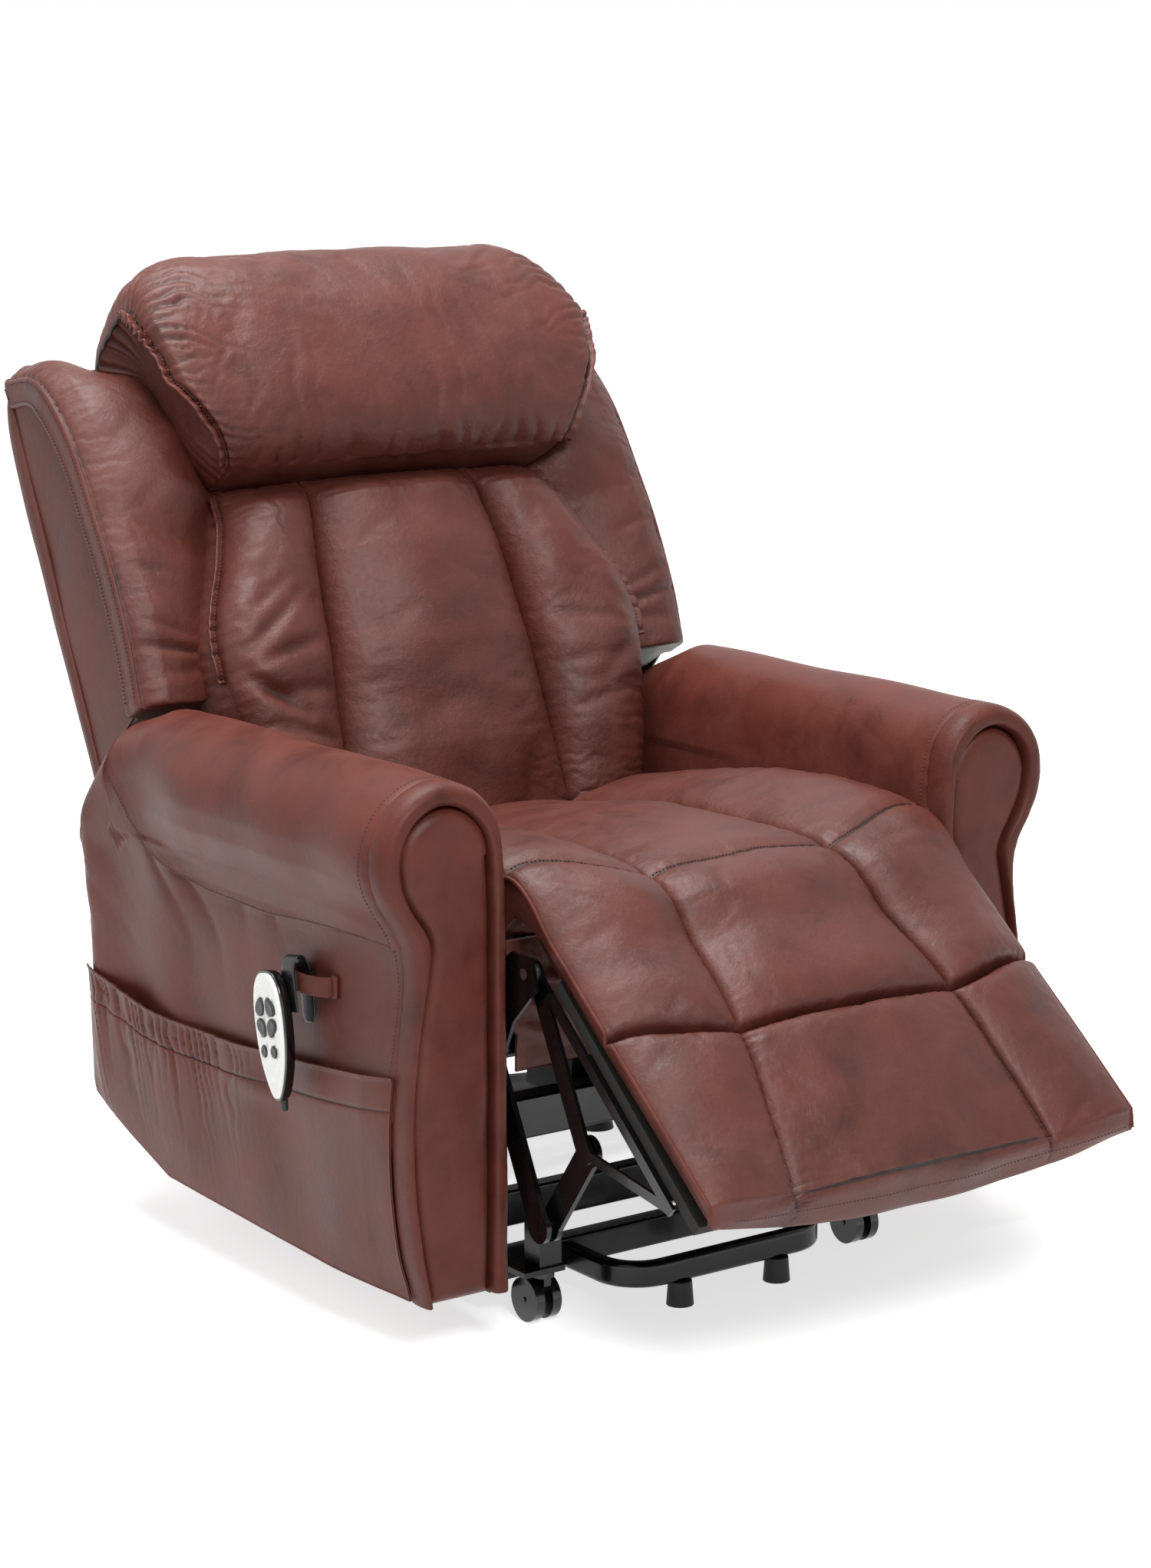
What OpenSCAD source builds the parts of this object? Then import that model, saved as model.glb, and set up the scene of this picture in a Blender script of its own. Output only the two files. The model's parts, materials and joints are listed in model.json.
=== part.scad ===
// Lift recliner chair: upholstered body, back and leg rest on a powered lifting base.
// Millimetres. +X is the right-hand side seen from the front, +Y points to the rear, +Z is up.
// Side-view points are written as [y, z], measured from the arm fronts and the floor.

/* [Overall] */
// Inside width between the arms
seat_w = 576; // [540:2:640]
// Thickness of an arm below its scroll
arm_w = 117; // [100:1:130]
// Height of the arm ridge
arm_h = 607; // [590:1:640]
// Radius of the arm's top scroll
scroll_r = 77; // [68:1:84]
// Length of the arms, front to rear
arm_l = 690; // [670:1:740]
// Floor clearance under the arm fronts
arm_clear = 64; // [60:1:80]
// Running gap between parts that move past each other
gap = 0.3; // [0.2:0.05:0.5]

/* [Arm fronts] */
// Width of the padded border round an arm's front
border_w = 24; // [18:1:30]
// Depth of the padded border
border_d = 26; // [20:1:34]
// Step that rounds the border's front edge
border_step = 6; // [3:1:8]

/* [Seat] */
// Thickness of the seat cushion at the crown of its middle channel
seat_t = 102; // [85:1:110]
// Rise of the seat's outer channels over the middle one
seat_rise = 14; // [8:1:18]
// Distance of the seams between the seat's channels from the middle of the chair
seat_seam_x = 118; // [100:1:130]
// Depth of the seams between the channels of the seat and the leg rest
seam_d = 19; // [12:1:24]
// Radius of the seat cushion's front lip
seat_lip_r = 18; // [12:1:20]
// Height of the wooden seat rails' top
rail_top = 390; // [380:1:400]
// Depth of a seat rail
rail_h = 55; // [40:1:64]
// Thickness of a front or rear seat rail
rail_t = 25; // [18:1:30]
// Diameter of the seat spring wire
spring_d = 4; // [3:0.5:5]
// Number of seat springs
spring_n = 5; // [4:1:6]
// Radius of the bends in a seat spring
spring_bend_r = 12; // [10:1:14]

/* [Leg rest] */
// Angle of the leg rest below the horizontal as modelled
leg_drop = 40.6; // [30:0.2:50]
// Length of the leg rest from its hinge
leg_len = 352; // [330:1:360]
// Distance from the hinge to the crease between calf and foot pads
calf_len = 127; // [100:1:150]
// Height of the pads' crown over the hinge line
pad_crown = 72; // [64:1:76]
// Height of the pads' edges over the hinge line
pad_edge = 56; // [48:1:60]
// Height of the pads' underside over the hinge line
pad_base = 22; // [18:1:26]
// Thickness of the leg board
board_t = 14; // [10:1:16]

/* [Back] */
// Lean of the back from the vertical as modelled
back_lean = 24.7; // [20:0.1:28]
// Half width of the back over its wings
back_half = 382; // [360:1:390]
// Clearance between an arm's ridge and the wing over it
wing_clear = 5.5; // [4:0.5:12]
// Height of the shell's top along the back, from the back pivot
shell_top = 722; // [700:1:740]
// Half width of the back cushions above the arms
cushion_half = 303; // [280:1:310]
// Height of the joint between lumbar cushion and head pillow
pillow_low = 522; // [500:1:540]
// Height of the head pillow's top
pillow_top = 800; // [770:1:815]
// Forward reach of the head pillow
pillow_reach = 150; // [130:1:155]
// Half width of the back cushions where lumbar cushion and head pillow meet
waist_half = 236; // [220:1:260]
// Forward reach of the lumbar cushion
lumbar_reach = 120; // [100:1:124]
// Distance of the lumbar cushion's seams from the middle of the chair, at its top
lumbar_seam_x = 112; // [95:1:125]
// Depth of the seams between the lumbar cushion's channels
lumbar_seam_d = 30; // [20:1:36]

/* [Steelwork] */
// Thickness of the chassis side plates
plate_t = 4; // [3:0.5:5]
// Thickness of the lifting and folding bars
bar_t = 6; // [4:0.5:6]
// Width of the lifting bars
bar_w = 26; // [22:1:28]
// Radius of the main pivot pins
pin_r = 6; // [5:0.5:7]
// Radial running fit of a pin in its bore
fit = 0.05; // [0.02:0.01:0.1]
// Outer radius of the chassis tubes
tube_r = 14; // [11:1:15]
// Width of the cranks and push rods under the leg rest
crank_w = 34; // [26:1:35]
// Height of the front loop's flattened tube
loop_h = 28; // [22:1:30]
// Depth of the front loop's flattened tube
loop_t = 18; // [14:1:20]
// Radial clearance where a rear lifting bar meets the chassis
link_fit = 0.8; // [0.7:0.1:1]
// Radial clearance where an actuator's rod meets its lever
open_fit = 3.5; // [3:0.1:4]
// Radial clearance where a leg rest rod meets its bracket
leg_fit = 0.5; // [0.3:0.1:0.8]

/* [Actuators] */
// Distance of each actuator from the middle of the chair
act_x = 65; // [55:1:75]
// Radius of an actuator's push rod
rod_r = 10; // [8:0.5:12]
// Wall of an actuator's outer tube
act_wall = 5; // [3:0.5:6]

/* [Casters] */
// Radius of a caster wheel
wheel_r = 24; // [20:0.5:25]
// Width of one wheel of the pair
wheel_w = 11; // [8:0.5:13]
// Trail of the wheel axle behind the swivel
trail = 13; // [10:1:16]
// Gap between a resting caster and the floor
wheel_lift = 1; // [0.5:0.1:2]

/* [Handset] */
// Length of the handset
hand_l = 138; // [125:1:150]
// Width of the handset
hand_w = 62; // [56:1:66]
// Thickness of the handset's rear shell
hand_shell = 11; // [9:0.5:12]
// Thickness of the handset's face
hand_face = 8; // [6:0.5:9]
// Travel of a button
button_travel = 1.2; // [0.8:0.1:1.5]
// Rearward lean of the handset as it hangs from its strap
hand_lean = 9.5; // [0:0.5:12]

/* [Side pocket] */
// Height of the side pocket's mouth
pocket_top = 288; // [240:1:320]
// Width of the slot behind the pocket sheet
pocket_gap = 6; // [5:0.5:9]
// Thickness of the pocket sheet
pocket_t = 3; // [2:0.5:4]

/* [Hidden] */
$fn = 64;

// Widths from the middle outwards
arm_in = seat_w / 2;
arm_out = arm_in + arm_w;
scroll_x = arm_in + scroll_r;
scroll_z = arm_h - scroll_r;
plate_x1 = arm_in - gap;
plate_x0 = plate_x1 - plate_t;
front_bar_x = plate_x0 - 3.7 - bar_t;   // lifting bars at the front
rear_bar_x = front_bar_x - 12;          // lifting bars at the rear
crank_x = plate_x0 - gap - bar_t;       // cranks of the leg rest
leg_plate_x = crank_x - 6;              // brackets of the leg rest
leg_plate_t = 4;
leg_rod_x = leg_plate_x - 2 - bar_t;    // rods that push the leg rest
base_x1 = rear_bar_x - 6;
base_x0 = base_x1 - 20;
bracket_x1 = plate_x0 - 3.7;
bracket_x0 = bracket_x1 - 5;
inner_half = bracket_x1;                // half width of what moves between the arms
pad_half = leg_rod_x + bar_t - 1;
post_t = 24;
bar_waist = 0.88;                       // waist of a bar as a share of its eyes' width

// Pivots in the side view
lift_a = [130, 88];      // front lifting bar on the base
lift_c = [450, 110];     // front lifting bar on the chassis
lift_b = [200, 110];     // rear lifting bar on the base
lift_d = [600, 145];     // rear lifting bar on the chassis
leg_h = [-20, 405];      // leg rest on the chassis
crank_a = leg_h + [70, -95];
back_p = [520, 330];     // back on the chassis
motor_m = [160, 205];    // tails of both actuators
lever_l = 70;            // lever under the rear lifting tube
lever_angle = -80;
lift_e = lift_d + lever_l * [cos(lever_angle), sin(lever_angle)];
back_lever_l = 90;
back_lever_angle = -60;
back_q = back_p + back_lever_l * [cos(back_lever_angle), sin(back_lever_angle)];

// Leg rest: distance along it and depth under it give a side-view point
function leg_pt(along, under) =
  leg_h + along * [-cos(leg_drop), -sin(leg_drop)] + under * [sin(leg_drop), -cos(leg_drop)];
rod_along = 175;
rod_under = 74;
rod_b = leg_pt(rod_along, rod_under);
rod_m = rod_b + (crank_a - leg_h);

// Back: depth behind the pivot and height along the back give a side-view point
function back_pt(depth, height) =
  back_p + depth * [cos(back_lean), -sin(back_lean)] + height * [sin(back_lean), cos(back_lean)];
wing_reach = 50;         // forward reach of a wing's lower corner
wing_low = (arm_h + wing_clear - back_p[1] - wing_reach * sin(back_lean)) / cos(back_lean);
shell_d = 100;
shell_rear = 134;
shell_corner = [shell_rear - 10, shell_top - 32];

// The origin is on the floor, in the middle of the footprint
end_r = 14;              // rounding of the leg rest's end
y_front = leg_pt(leg_len - end_r, end_r - pad_edge)[0] - end_r;
y_rear = back_pt(shell_corner[0], shell_corner[1])[0];
y_mid = (y_front + y_rear) / 2;

seat_bottom = rail_top + spring_d + gap;
seat_top = seat_bottom + seat_t;
seat_front = -8;
seat_rear = 440;
rail_y0 = 45;
rail_y1 = 455;
knee_r = pad_crown + 4;

// ---- helpers ----
module place() translate([0, -y_mid, 0]) children();
module both_sides() {
  children();
  mirror([1, 0, 0]) children();
}
// Draws a side-view shape from x0 to x1
module side_plate(x0, x1)
  translate([x0, 0, 0]) rotate([90, 0, 90]) linear_extrude(x1 - x0) children();
// Draws a front-view shape (x, z) from y0 to y1
module front_plate(y0, y1)
  translate([0, y1, 0]) rotate([90, 0, 0]) linear_extrude(y1 - y0) children();
// Cross pin or tube at a side-view point
module cross_rod(p, r, x0, x1)
  translate([x0, p[0], p[1]]) rotate([0, 90, 0]) cylinder(r = r, h = x1 - x0);
// Flat bar with round eyes that stand a little proud of its waist
module bar2d(p, q, w) {
  translate(p) circle(d = w);
  translate(q) circle(d = w);
  translate(p) rotate(atan2(q[1] - p[1], q[0] - p[0])) translate([0, -w * bar_waist / 2])
    square([norm(q - p), w * bar_waist]);
}
module rounded2d(size, r) {
  translate([r, 0]) square([size[0] - 2 * r, size[1]]);
  translate([0, r]) square([size[0], size[1] - 2 * r]);
  for (x = [r, size[0] - r], y = [r, size[1] - r]) translate([x, y]) circle(r = r);
}
module on_back() translate([0, back_p[0], back_p[1]]) rotate([-back_lean, 0, 0]) children();
// Trough for a sewn seam: its bottom line runs rearwards between two side-view points and
// drifts inwards by a turn, and it opens upwards by w either side over a height d
module trough(x, p, q, turn, w, d) translate([x, p[0], p[1]])
  rotate([atan2(q[1] - p[1], q[0] - p[0]), 0, 0]) rotate([0, 0, turn]) rotate([90, 0, 180])
    linear_extrude(norm(q - p) / cos(turn)) polygon([[0, 0], [w, d], [-w, d]]);

// ---- base on the floor ----
rail_z0 = 28;
rail_z1 = 60;
base_y0 = 96;
base_y1 = 640;
loop_y = 12;
loop_half = 136;
loop_r = 46;
loop_z = 41;
front_tube_y = 130;
rear_tube_y = 548;
foot_x = 66;
caster_x = 218;
caster_y = 50;
socket_z0 = 66;
socket_z1 = 118;
stem_r = 5;
ear_t = 6;

module base_rails() color("#17171a") place() both_sides() {
  difference() {
    translate([base_x0, base_y0, rail_z0])
      cube([base_x1 - base_x0, base_y1 - base_y0, rail_z1 - rail_z0]);
    translate([base_x0 + 3, base_y0 - 1, rail_z0 + 3])
      cube([base_x1 - base_x0 - 6, base_y1 - base_y0 + 2, rail_z1 - rail_z0 - 6]);
  }
  for (p = [lift_a, lift_b]) side_plate(base_x1 - ear_t, base_x1) difference() {
    bar2d([p[0], rail_z1 - ear_t], p, bar_w);
    translate(p) circle(r = pin_r);
    translate([p[0] - bar_w, 0]) square([2 * bar_w, rail_z1 - 3]);
  }
}
// Rectangular cross tube centred on a side-view point
module cross_box(p, size, half) side_plate(-half, half) translate(p - size / 2) rounded2d(size, 3);
module loop_section() translate([-loop_t / 2, -loop_h / 2]) rounded2d([loop_t, loop_h], 6);
module base_front() color("#17171a") place() {
  cross_box([front_tube_y, (rail_z0 + rail_z1) / 2], [25, rail_z1 - rail_z0], base_x0);
  side_plate(-loop_half + loop_r, loop_half - loop_r) translate([loop_y, loop_z]) loop_section();
  both_sides() {
    translate([loop_half, loop_y + loop_r, loop_z]) rotate([-90, 0, 0])
      linear_extrude(front_tube_y - loop_y - loop_r) loop_section();
    translate([loop_half - loop_r, loop_y + loop_r, loop_z]) rotate([0, 0, -90])
      rotate_extrude(angle = 90) translate([loop_r, 0]) loop_section();
  }
}
module base_rear_tube() color("#17171a") place()
  cross_box([rear_tube_y, (rail_z0 + rail_z1) / 2 - 3], [25, rail_z1 - rail_z0 - 6], base_x0);
module base_feet() color("#1c1c1c") place() both_sides() {
  translate([foot_x, loop_y, 0]) cylinder(r1 = 15, r2 = 13, h = loop_z - loop_h / 2 - gap);
  translate([(base_x0 + base_x1) / 2, base_y1 - 40, 0]) cylinder(r1 = 22, r2 = 16, h = rail_z0);
}
module caster_sockets() color("#17171a") place() both_sides() difference() {
  union() {
    translate([caster_x - 16, caster_y - 18, rail_z1]) cube([base_x1 - caster_x + 14, 82, 6]);
    translate([caster_x - 14, caster_y - 14, rail_z1]) cube([28, 28, socket_z1 - rail_z1]);
  }
  translate([caster_x, caster_y, rail_z1 - 1]) cylinder(r = stem_r + fit, h = socket_z1 - rail_z1 - 5);
}
module pin_stub(p, x0, x1, collar_x0, collar_x1) {
  cross_rod(p, pin_r, x0, x1);
  if (collar_x1 > collar_x0) cross_rod(p, pin_r + 4, collar_x0, collar_x1);
}
module base_pins() color("#b9b9bd") place() both_sides() {
  pin_stub(lift_a, base_x1 - ear_t, front_bar_x + bar_t + 1, base_x1, front_bar_x - gap);
  pin_stub(lift_b, base_x1 - ear_t, rear_bar_x + bar_t + 1, base_x1, rear_bar_x - gap);
}

// ---- casters ----
axle_z = wheel_r + wheel_lift;
fork_half = 4.5;
module caster_fork() {
  cylinder_z(stem_r, rail_z1 - 8, socket_z1 - 10);
  cylinder_z(12, rail_z1 - 8, rail_z1 - gap);
  side_plate(-fork_half, fork_half) {
    bar2d([trail, axle_z], [0, rail_z1 - 14], 16);
    translate([-8, rail_z1 - 16]) square([16, 9]);
  }
  cross_rod([trail, axle_z], 3, -fork_half - wheel_w - 2, fork_half + wheel_w + 2);
}
module cylinder_z(r, z0, z1) translate([0, 0, z0]) cylinder(r = r, h = z1 - z0);
module caster_wheels() for (s = [-1, 1]) difference() {
  x0 = s > 0 ? fork_half + 0.6 : -fork_half - 0.6 - wheel_w;
  cross_rod([trail, axle_z], wheel_r, x0, x0 + wheel_w);
  cross_rod([trail, axle_z], 3 + fit, x0 - 1, x0 + wheel_w + 1);
}
module at_caster(s) place() translate([s * caster_x, caster_y, 0]) children();
module caster_fork_left() color("#121214") at_caster(-1) caster_fork();
module caster_fork_right() color("#121214") at_caster(1) caster_fork();
module caster_wheels_left() color("#1b1b1d") at_caster(-1) caster_wheels();
module caster_wheels_right() color("#1b1b1d") at_caster(1) caster_wheels();

// ---- lifting arms ----
module lift_bar(p, q, x0, fit_q) side_plate(x0, x0 + bar_t) difference() {
  bar2d(p, q, bar_w);
  translate(p) circle(r = pin_r + fit);
  translate(q) circle(r = pin_r + fit_q);
}
front_tube_at = 40;
front_dir = (lift_c - lift_a) / norm(lift_c - lift_a);
front_tube_p = lift_a + front_tube_at * front_dir;
module front_arms() color("#17171a") place() both_sides()
  lift_bar(lift_a, lift_c, front_bar_x, fit);
module front_arm_tube() color("#17171a") place() cross_box(front_tube_p, [22, 40], front_bar_x);
module rear_arms() color("#17171a") place() both_sides()
  lift_bar(lift_b, lift_d, rear_bar_x, link_fit);
lever_gap = rod_r + 1;   // from the middle of an actuator to its lever plates
module lever(p, q, x_mid) for (x = [x_mid - lever_gap - 5, x_mid + lever_gap])
  side_plate(x, x + 5) difference() {
    bar2d(p, q, 30);
    translate(q) circle(r = pin_r + open_fit);
  }
module rear_arm_tube() color("#17171a") place() {
  cross_rod(lift_d, tube_r, -rear_bar_x, rear_bar_x);
  lever(lift_d, lift_e, act_x);
}

// ---- chassis ----
front_cross = motor_m - [32, 0];
rear_cross = [500, 190];
plate_outline = [
  leg_h + [-22, -13], leg_h + [-14, 19], leg_h + [22, 19], crank_a + [30, 52],
  back_p + [-20, 32], back_p + [28, 28], back_p + [36, -20], lift_d + [40, 45],
  lift_d + [32, -17], lift_d + [-4, -27], lift_d + [-34, 15], rear_cross + [-20, -30],
  lift_c + [20, -22], lift_c + [-20, -22], lift_c + [-50, 90], [330, 250],
  front_cross + [32, 45], front_cross + [20, -28], front_cross + [-20, -28],
  front_cross + [-32, 45], crank_a + [-20, -24], crank_a + [-50, 40]
];
module chassis_plates() color("#202024") place() both_sides() side_plate(plate_x0, plate_x1)
  difference() {
    polygon(plate_outline);
    for (p = [lift_c, lift_d, leg_h, crank_a, back_p]) translate(p) circle(r = pin_r);
  }
module chassis_tubes() color("#202024") place() {
  cross_box(front_cross, [30, 46], plate_x0);
  cross_rod(rear_cross, tube_r, -plate_x0, plate_x0);
  both_sides() {
    for (x = [act_x - 15, act_x + 10]) side_plate(x, x + 5) bar2d(front_cross, motor_m, 22);
    cross_rod(motor_m, 5, act_x - 17, act_x + 17);
  }
}
module chassis_pins() color("#b9b9bd") place() both_sides() {
  pin_stub(lift_c, front_bar_x - 1, plate_x1, front_bar_x + bar_t + gap, plate_x0);
  pin_stub(lift_d, rear_bar_x + gap, plate_x1, rear_bar_x + bar_t + gap, plate_x0);
  pin_stub(leg_h, leg_plate_x - 1, plate_x1, leg_plate_x + leg_plate_t + gap, plate_x0);
  pin_stub(crank_a, crank_x + gap, plate_x1, plate_x0, plate_x0);
  pin_stub(back_p, bracket_x0 + gap, plate_x1, bracket_x1 + gap, plate_x0);
}

// ---- seat ----
side_rail_x = plate_x0 - 21;
module seat_side_rails() color("#b98a5a") place() both_sides()
  translate([side_rail_x, rail_y0, rail_top - rail_h])
    cube([plate_x0 - gap - side_rail_x, rail_y1 - rail_y0, rail_h]);
module seat_cross_rails() color("#b98a5a") place() for (y = [rail_y0, rail_y1 - rail_t])
  translate([-side_rail_x, y, rail_top - rail_h]) cube([2 * side_rail_x, rail_t, rail_h]);
spring_pitch = 2 * spring_bend_r;
spring_loops = floor((rail_y1 - rail_y0 - rail_t) / spring_pitch);
spring_leg = 14;
module half_ring(r, w) difference() {
  circle(r = r + w / 2);
  circle(r = r - w / 2);
  translate([-2 * r, -2 * r]) square([2 * r, 4 * r]);
}
module seat_spring() translate([0, 0, rail_top]) linear_extrude(spring_d)
  for (i = [0 : spring_loops - 1]) translate([0, rail_y0 + rail_t / 2 + (i + 0.5) * spring_pitch]) {
    mirror([i % 2, 0, 0]) translate([spring_leg, 0]) half_ring(spring_bend_r, spring_d);
    for (e = [0, 1]) translate([-spring_leg, (e - 0.5) * spring_pitch - spring_d / 2])
      square([2 * spring_leg, spring_d]);
  }
spring_step = 2 * (side_rail_x - 40) / (spring_n - 1);
module seat_springs() color("#8d8f93") place()
  for (i = [0 : spring_n - 1]) translate([i * spring_step - side_rail_x + 40, 0, 0]) seat_spring();
seat_fall = 38;          // fall of the seat's top from its crown to its rear
// Side view of a seat channel whose crown is at z
module seat_channel(x0, x1, z) side_plate(x0, x1) polygon([[seat_front, seat_bottom],
  [seat_front, z - 9], [50, z - 1], [180, z - 1], [285, z - 14], [seat_rear - seat_lip_r, z - seat_fall],
  [seat_rear, z - seat_fall - seat_lip_r], [seat_rear, seat_bottom]]);
module seat_cushion() color("#6b3b37") place() difference() {
  union() {
    seat_channel(-seat_seam_x, seat_seam_x, seat_top);
    both_sides() seat_channel(seat_seam_x, inner_half, seat_top + seat_rise);
  }
  both_sides() {
    trough(seat_seam_x, [-60, seat_top - seam_d], [200, seat_top - seam_d], 0, 34, seam_d + 16);
    trough(seat_seam_x, [200, seat_top - seam_d], [seat_rear + 1, seat_top - seam_d - 30], 0, 34,
      seam_d + 16);
  }
  cross_rod(leg_h, knee_r, -arm_in, arm_in);
}
// Padded leather band over the front rail, hanging down between the arms
apron_half = leg_rod_x - 2;
apron_y = rail_y0 - 11;
apron_low = 283;
module front_apron() color("#6b3b37") place() side_plate(-apron_half, apron_half)
  polygon([[apron_y, apron_low], [apron_y + 3, apron_low], [apron_y + 3, rail_top - rail_h],
    [rail_y0 - gap, rail_top - rail_h], [rail_y0 - gap, rail_top], [apron_y, rail_top]]);

// ---- arms ----
slope_y = arm_l - 180;
slope_rise = 16;
side_cut = [[slope_y, arm_clear + slope_rise], [arm_l - 12, arm_clear + 77],
  [arm_l, arm_clear + 100], [arm_l, arm_h - 147], [arm_l - 30, arm_h - 89],
  [arm_l - 90, arm_h - 29], [arm_l - 150, arm_h + 1]];
function under_z(y) = arm_clear + (y - border_d) * slope_rise / (slope_y - border_d);
module keyhole2d(inset) {
  translate([scroll_x, scroll_z]) circle(r = scroll_r - inset);
  translate([arm_in + inset, arm_clear]) square([arm_w - 2 * inset, scroll_z - arm_clear]);
}
module arm_body() intersection() {
  front_plate(border_d + gap, arm_l) keyhole2d(0);
  side_plate(arm_in - 1, arm_in + 3 * scroll_r)
    polygon(concat([[border_d, arm_h + 1], [border_d, arm_clear]], side_cut));
}
module arm_border() {
  front_plate(border_step, border_d) difference() {
    keyhole2d(0);
    keyhole2d(border_w);
    translate([arm_in + border_w, 0]) square([arm_w - 2 * border_w, scroll_z]);
  }
  front_plate(0, border_step) difference() {
    keyhole2d(border_step);
    keyhole2d(border_w - border_step);
    translate([arm_in + border_w - border_step, 0])
      square([arm_w - 2 * border_w + 2 * border_step, scroll_z]);
  }
}
module arm_panel() {
  front_plate(border_step + 4, border_d) keyhole2d(border_w + gap);
  front_plate(border_step, border_step + 4) keyhole2d(border_w + 5);
}
module arm_left() color("#6b3b37") place() mirror([1, 0, 0]) arm_body();
module arm_right() color("#6b3b37") place() arm_body();
module arm_border_left() color("#74423d") place() mirror([1, 0, 0]) arm_border();
module arm_border_right() color("#74423d") place() arm_border();
module arm_panel_left() color("#6b3b37") place() mirror([1, 0, 0]) arm_panel();
module arm_panel_right() color("#6b3b37") place() arm_panel();
glide_h = 8;
glide_r = 14;
glide_y = [60, arm_l - 270];
module arm_glides() color("#18181a") place() both_sides() for (y = glide_y)
  translate([arm_in + arm_w / 2, y, under_z(y - glide_r) - gap - glide_h])
    cylinder(r = glide_r, h = glide_h);
pocket_x0 = arm_out + pocket_gap;
pocket_y0 = 44;
pocket_y1 = 676;
pocket_z0 = 96;
module side_pocket() color("#6b3b37") place() mirror([1, 0, 0]) {
  side_plate(pocket_x0, pocket_x0 + pocket_t) pocket2d();
  side_plate(arm_out + gap, pocket_x0) difference() {
    pocket2d();
    translate([pocket_y0 + 14, pocket_z0 + 60])
      square([pocket_y1 - pocket_y0 - 28, pocket_top]);
    translate([pocket_y0 + 14, pocket_z0 + 14]) square([400, pocket_top]);
  }
}
module pocket2d() polygon([[pocket_y0, pocket_z0], [500, pocket_z0], [640, pocket_z0 + 46],
  [pocket_y1, pocket_z0 + 60], [pocket_y1, pocket_top], [pocket_y0, pocket_top]]);

// ---- handset and its strap ----
hand_y = 212;
hand_z = 316;
loop_y0 = 150;
loop_y1 = 224;
strap_z0 = 364;
strap_z1 = 386;
strap_gap = 14;
strap_t = 3;
hand_x = arm_out + strap_gap + 2 * strap_t + 8;
module strap_loop() color("#6b3b37") place() mirror([1, 0, 0])
  translate([arm_out + gap, loop_y0, strap_z0]) difference() {
    cube([strap_gap + 2 * strap_t, loop_y1 - loop_y0, strap_z1 - strap_z0]);
    translate([strap_t, strap_t, -1])
      cube([strap_gap, loop_y1 - loop_y0 - 2 * strap_t, strap_z1 - strap_z0 + 2]);
  }
module at_hand(x) place() translate([-x, hand_y, hand_z]) rotate([-hand_lean, 0, 0])
  rotate([0, -90, 0]) children();
// Handset outline: rounded ends, drawn with its length along the first axis
module hand2d(inset) translate([-hand_l / 2 + inset, -hand_w / 2 + inset])
  rounded2d([hand_l - 2 * inset, hand_w - 2 * inset], hand_w * 0.38 - inset);
module handset_shell() color("#161618") at_hand(hand_x) {
  translate([0, 0, 2]) linear_extrude(hand_shell - 2) hand2d(0);
  linear_extrude(2) hand2d(3);
  translate([-hand_l / 2 + 4, 0, hand_shell / 2 + 1]) rotate([0, -90, 0]) cylinder(r = 4, h = 18);
}
button_r = 9;
ring_r = 17;
small_r = 5.5;
button_h = 3;
well_d = button_h + button_travel + gap;
ring_z = 20;
small_z = -16;
face_x = hand_x + hand_shell + gap;
button_floor = hand_face - button_h;
ring_step = ring_r * cos(45);   // the ring's keys sit on its diagonals
button_at = [[ring_z + ring_step, ring_step], [ring_z - ring_step, ring_step],
  [ring_z + ring_step, -ring_step], [ring_z - ring_step, -ring_step], [small_z, 10], [small_z, -10]];
function button_size(i) = i < 4 ? button_r : small_r;
module handset_face() color("#ececea") at_hand(face_x) difference() {
  union() {
    linear_extrude(hand_face - 2) hand2d(1);
    translate([0, 0, hand_face - 2]) linear_extrude(2) hand2d(3);
  }
  for (i = [0 : 5]) translate([button_at[i][0], button_at[i][1], hand_face - well_d])
    cylinder(r = button_size(i) + gap, h = 20);
}
module button(i) color("#1a1a1c") at_hand(face_x)
  translate([button_at[i][0], button_at[i][1], button_floor])
    cylinder(r = button_size(i), h = button_h + 2);
module button_back_up() button(0);
module button_back_down() button(1);
module button_leg_up() button(2);
module button_leg_down() button(3);
module button_lift() button(4);
module button_lower() button(5);
clip_w = 24;
clip_t = 3.5;
clip_top = strap_z1 + gap + clip_t;
clip_x0 = arm_out + gap + strap_t + 5;
module handset_clip() color("#161618") place() mirror([1, 0, 0])
  translate([0, hand_y - 26 - clip_w / 2, 0]) {
    translate([clip_x0, 0, strap_z0 - 18]) cube([clip_t, clip_w, clip_top - strap_z0 + 18]);
    translate([clip_x0, 0, clip_top - clip_t]) cube([hand_x - gap - clip_x0, clip_w, clip_t]);
    translate([hand_x - gap - clip_t, 0, hand_z + 10])
      cube([clip_t, clip_w + 18, clip_top - hand_z - 10]);
  }

// ---- leg rest ----
module leg_cranks() color("#17171a") place() both_sides() side_plate(crank_x, crank_x + bar_t)
  difference() {
    bar2d(crank_a, rod_m, crank_w);
    for (p = [crank_a, rod_m]) translate(p) circle(r = pin_r + fit);
  }
module leg_drive_tube() color("#17171a") place() cross_rod(crank_a, 12, -crank_x, crank_x);
module leg_rods() color("#17171a") place() both_sides() {
  side_plate(leg_rod_x, leg_rod_x + bar_t) difference() {
    bar2d(rod_m, rod_b, crank_w);
    translate(rod_b) circle(r = pin_r - 2 + leg_fit);
  }
  cross_rod(rod_m, pin_r, leg_rod_x + bar_t, crank_x + bar_t + 1);
}
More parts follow.
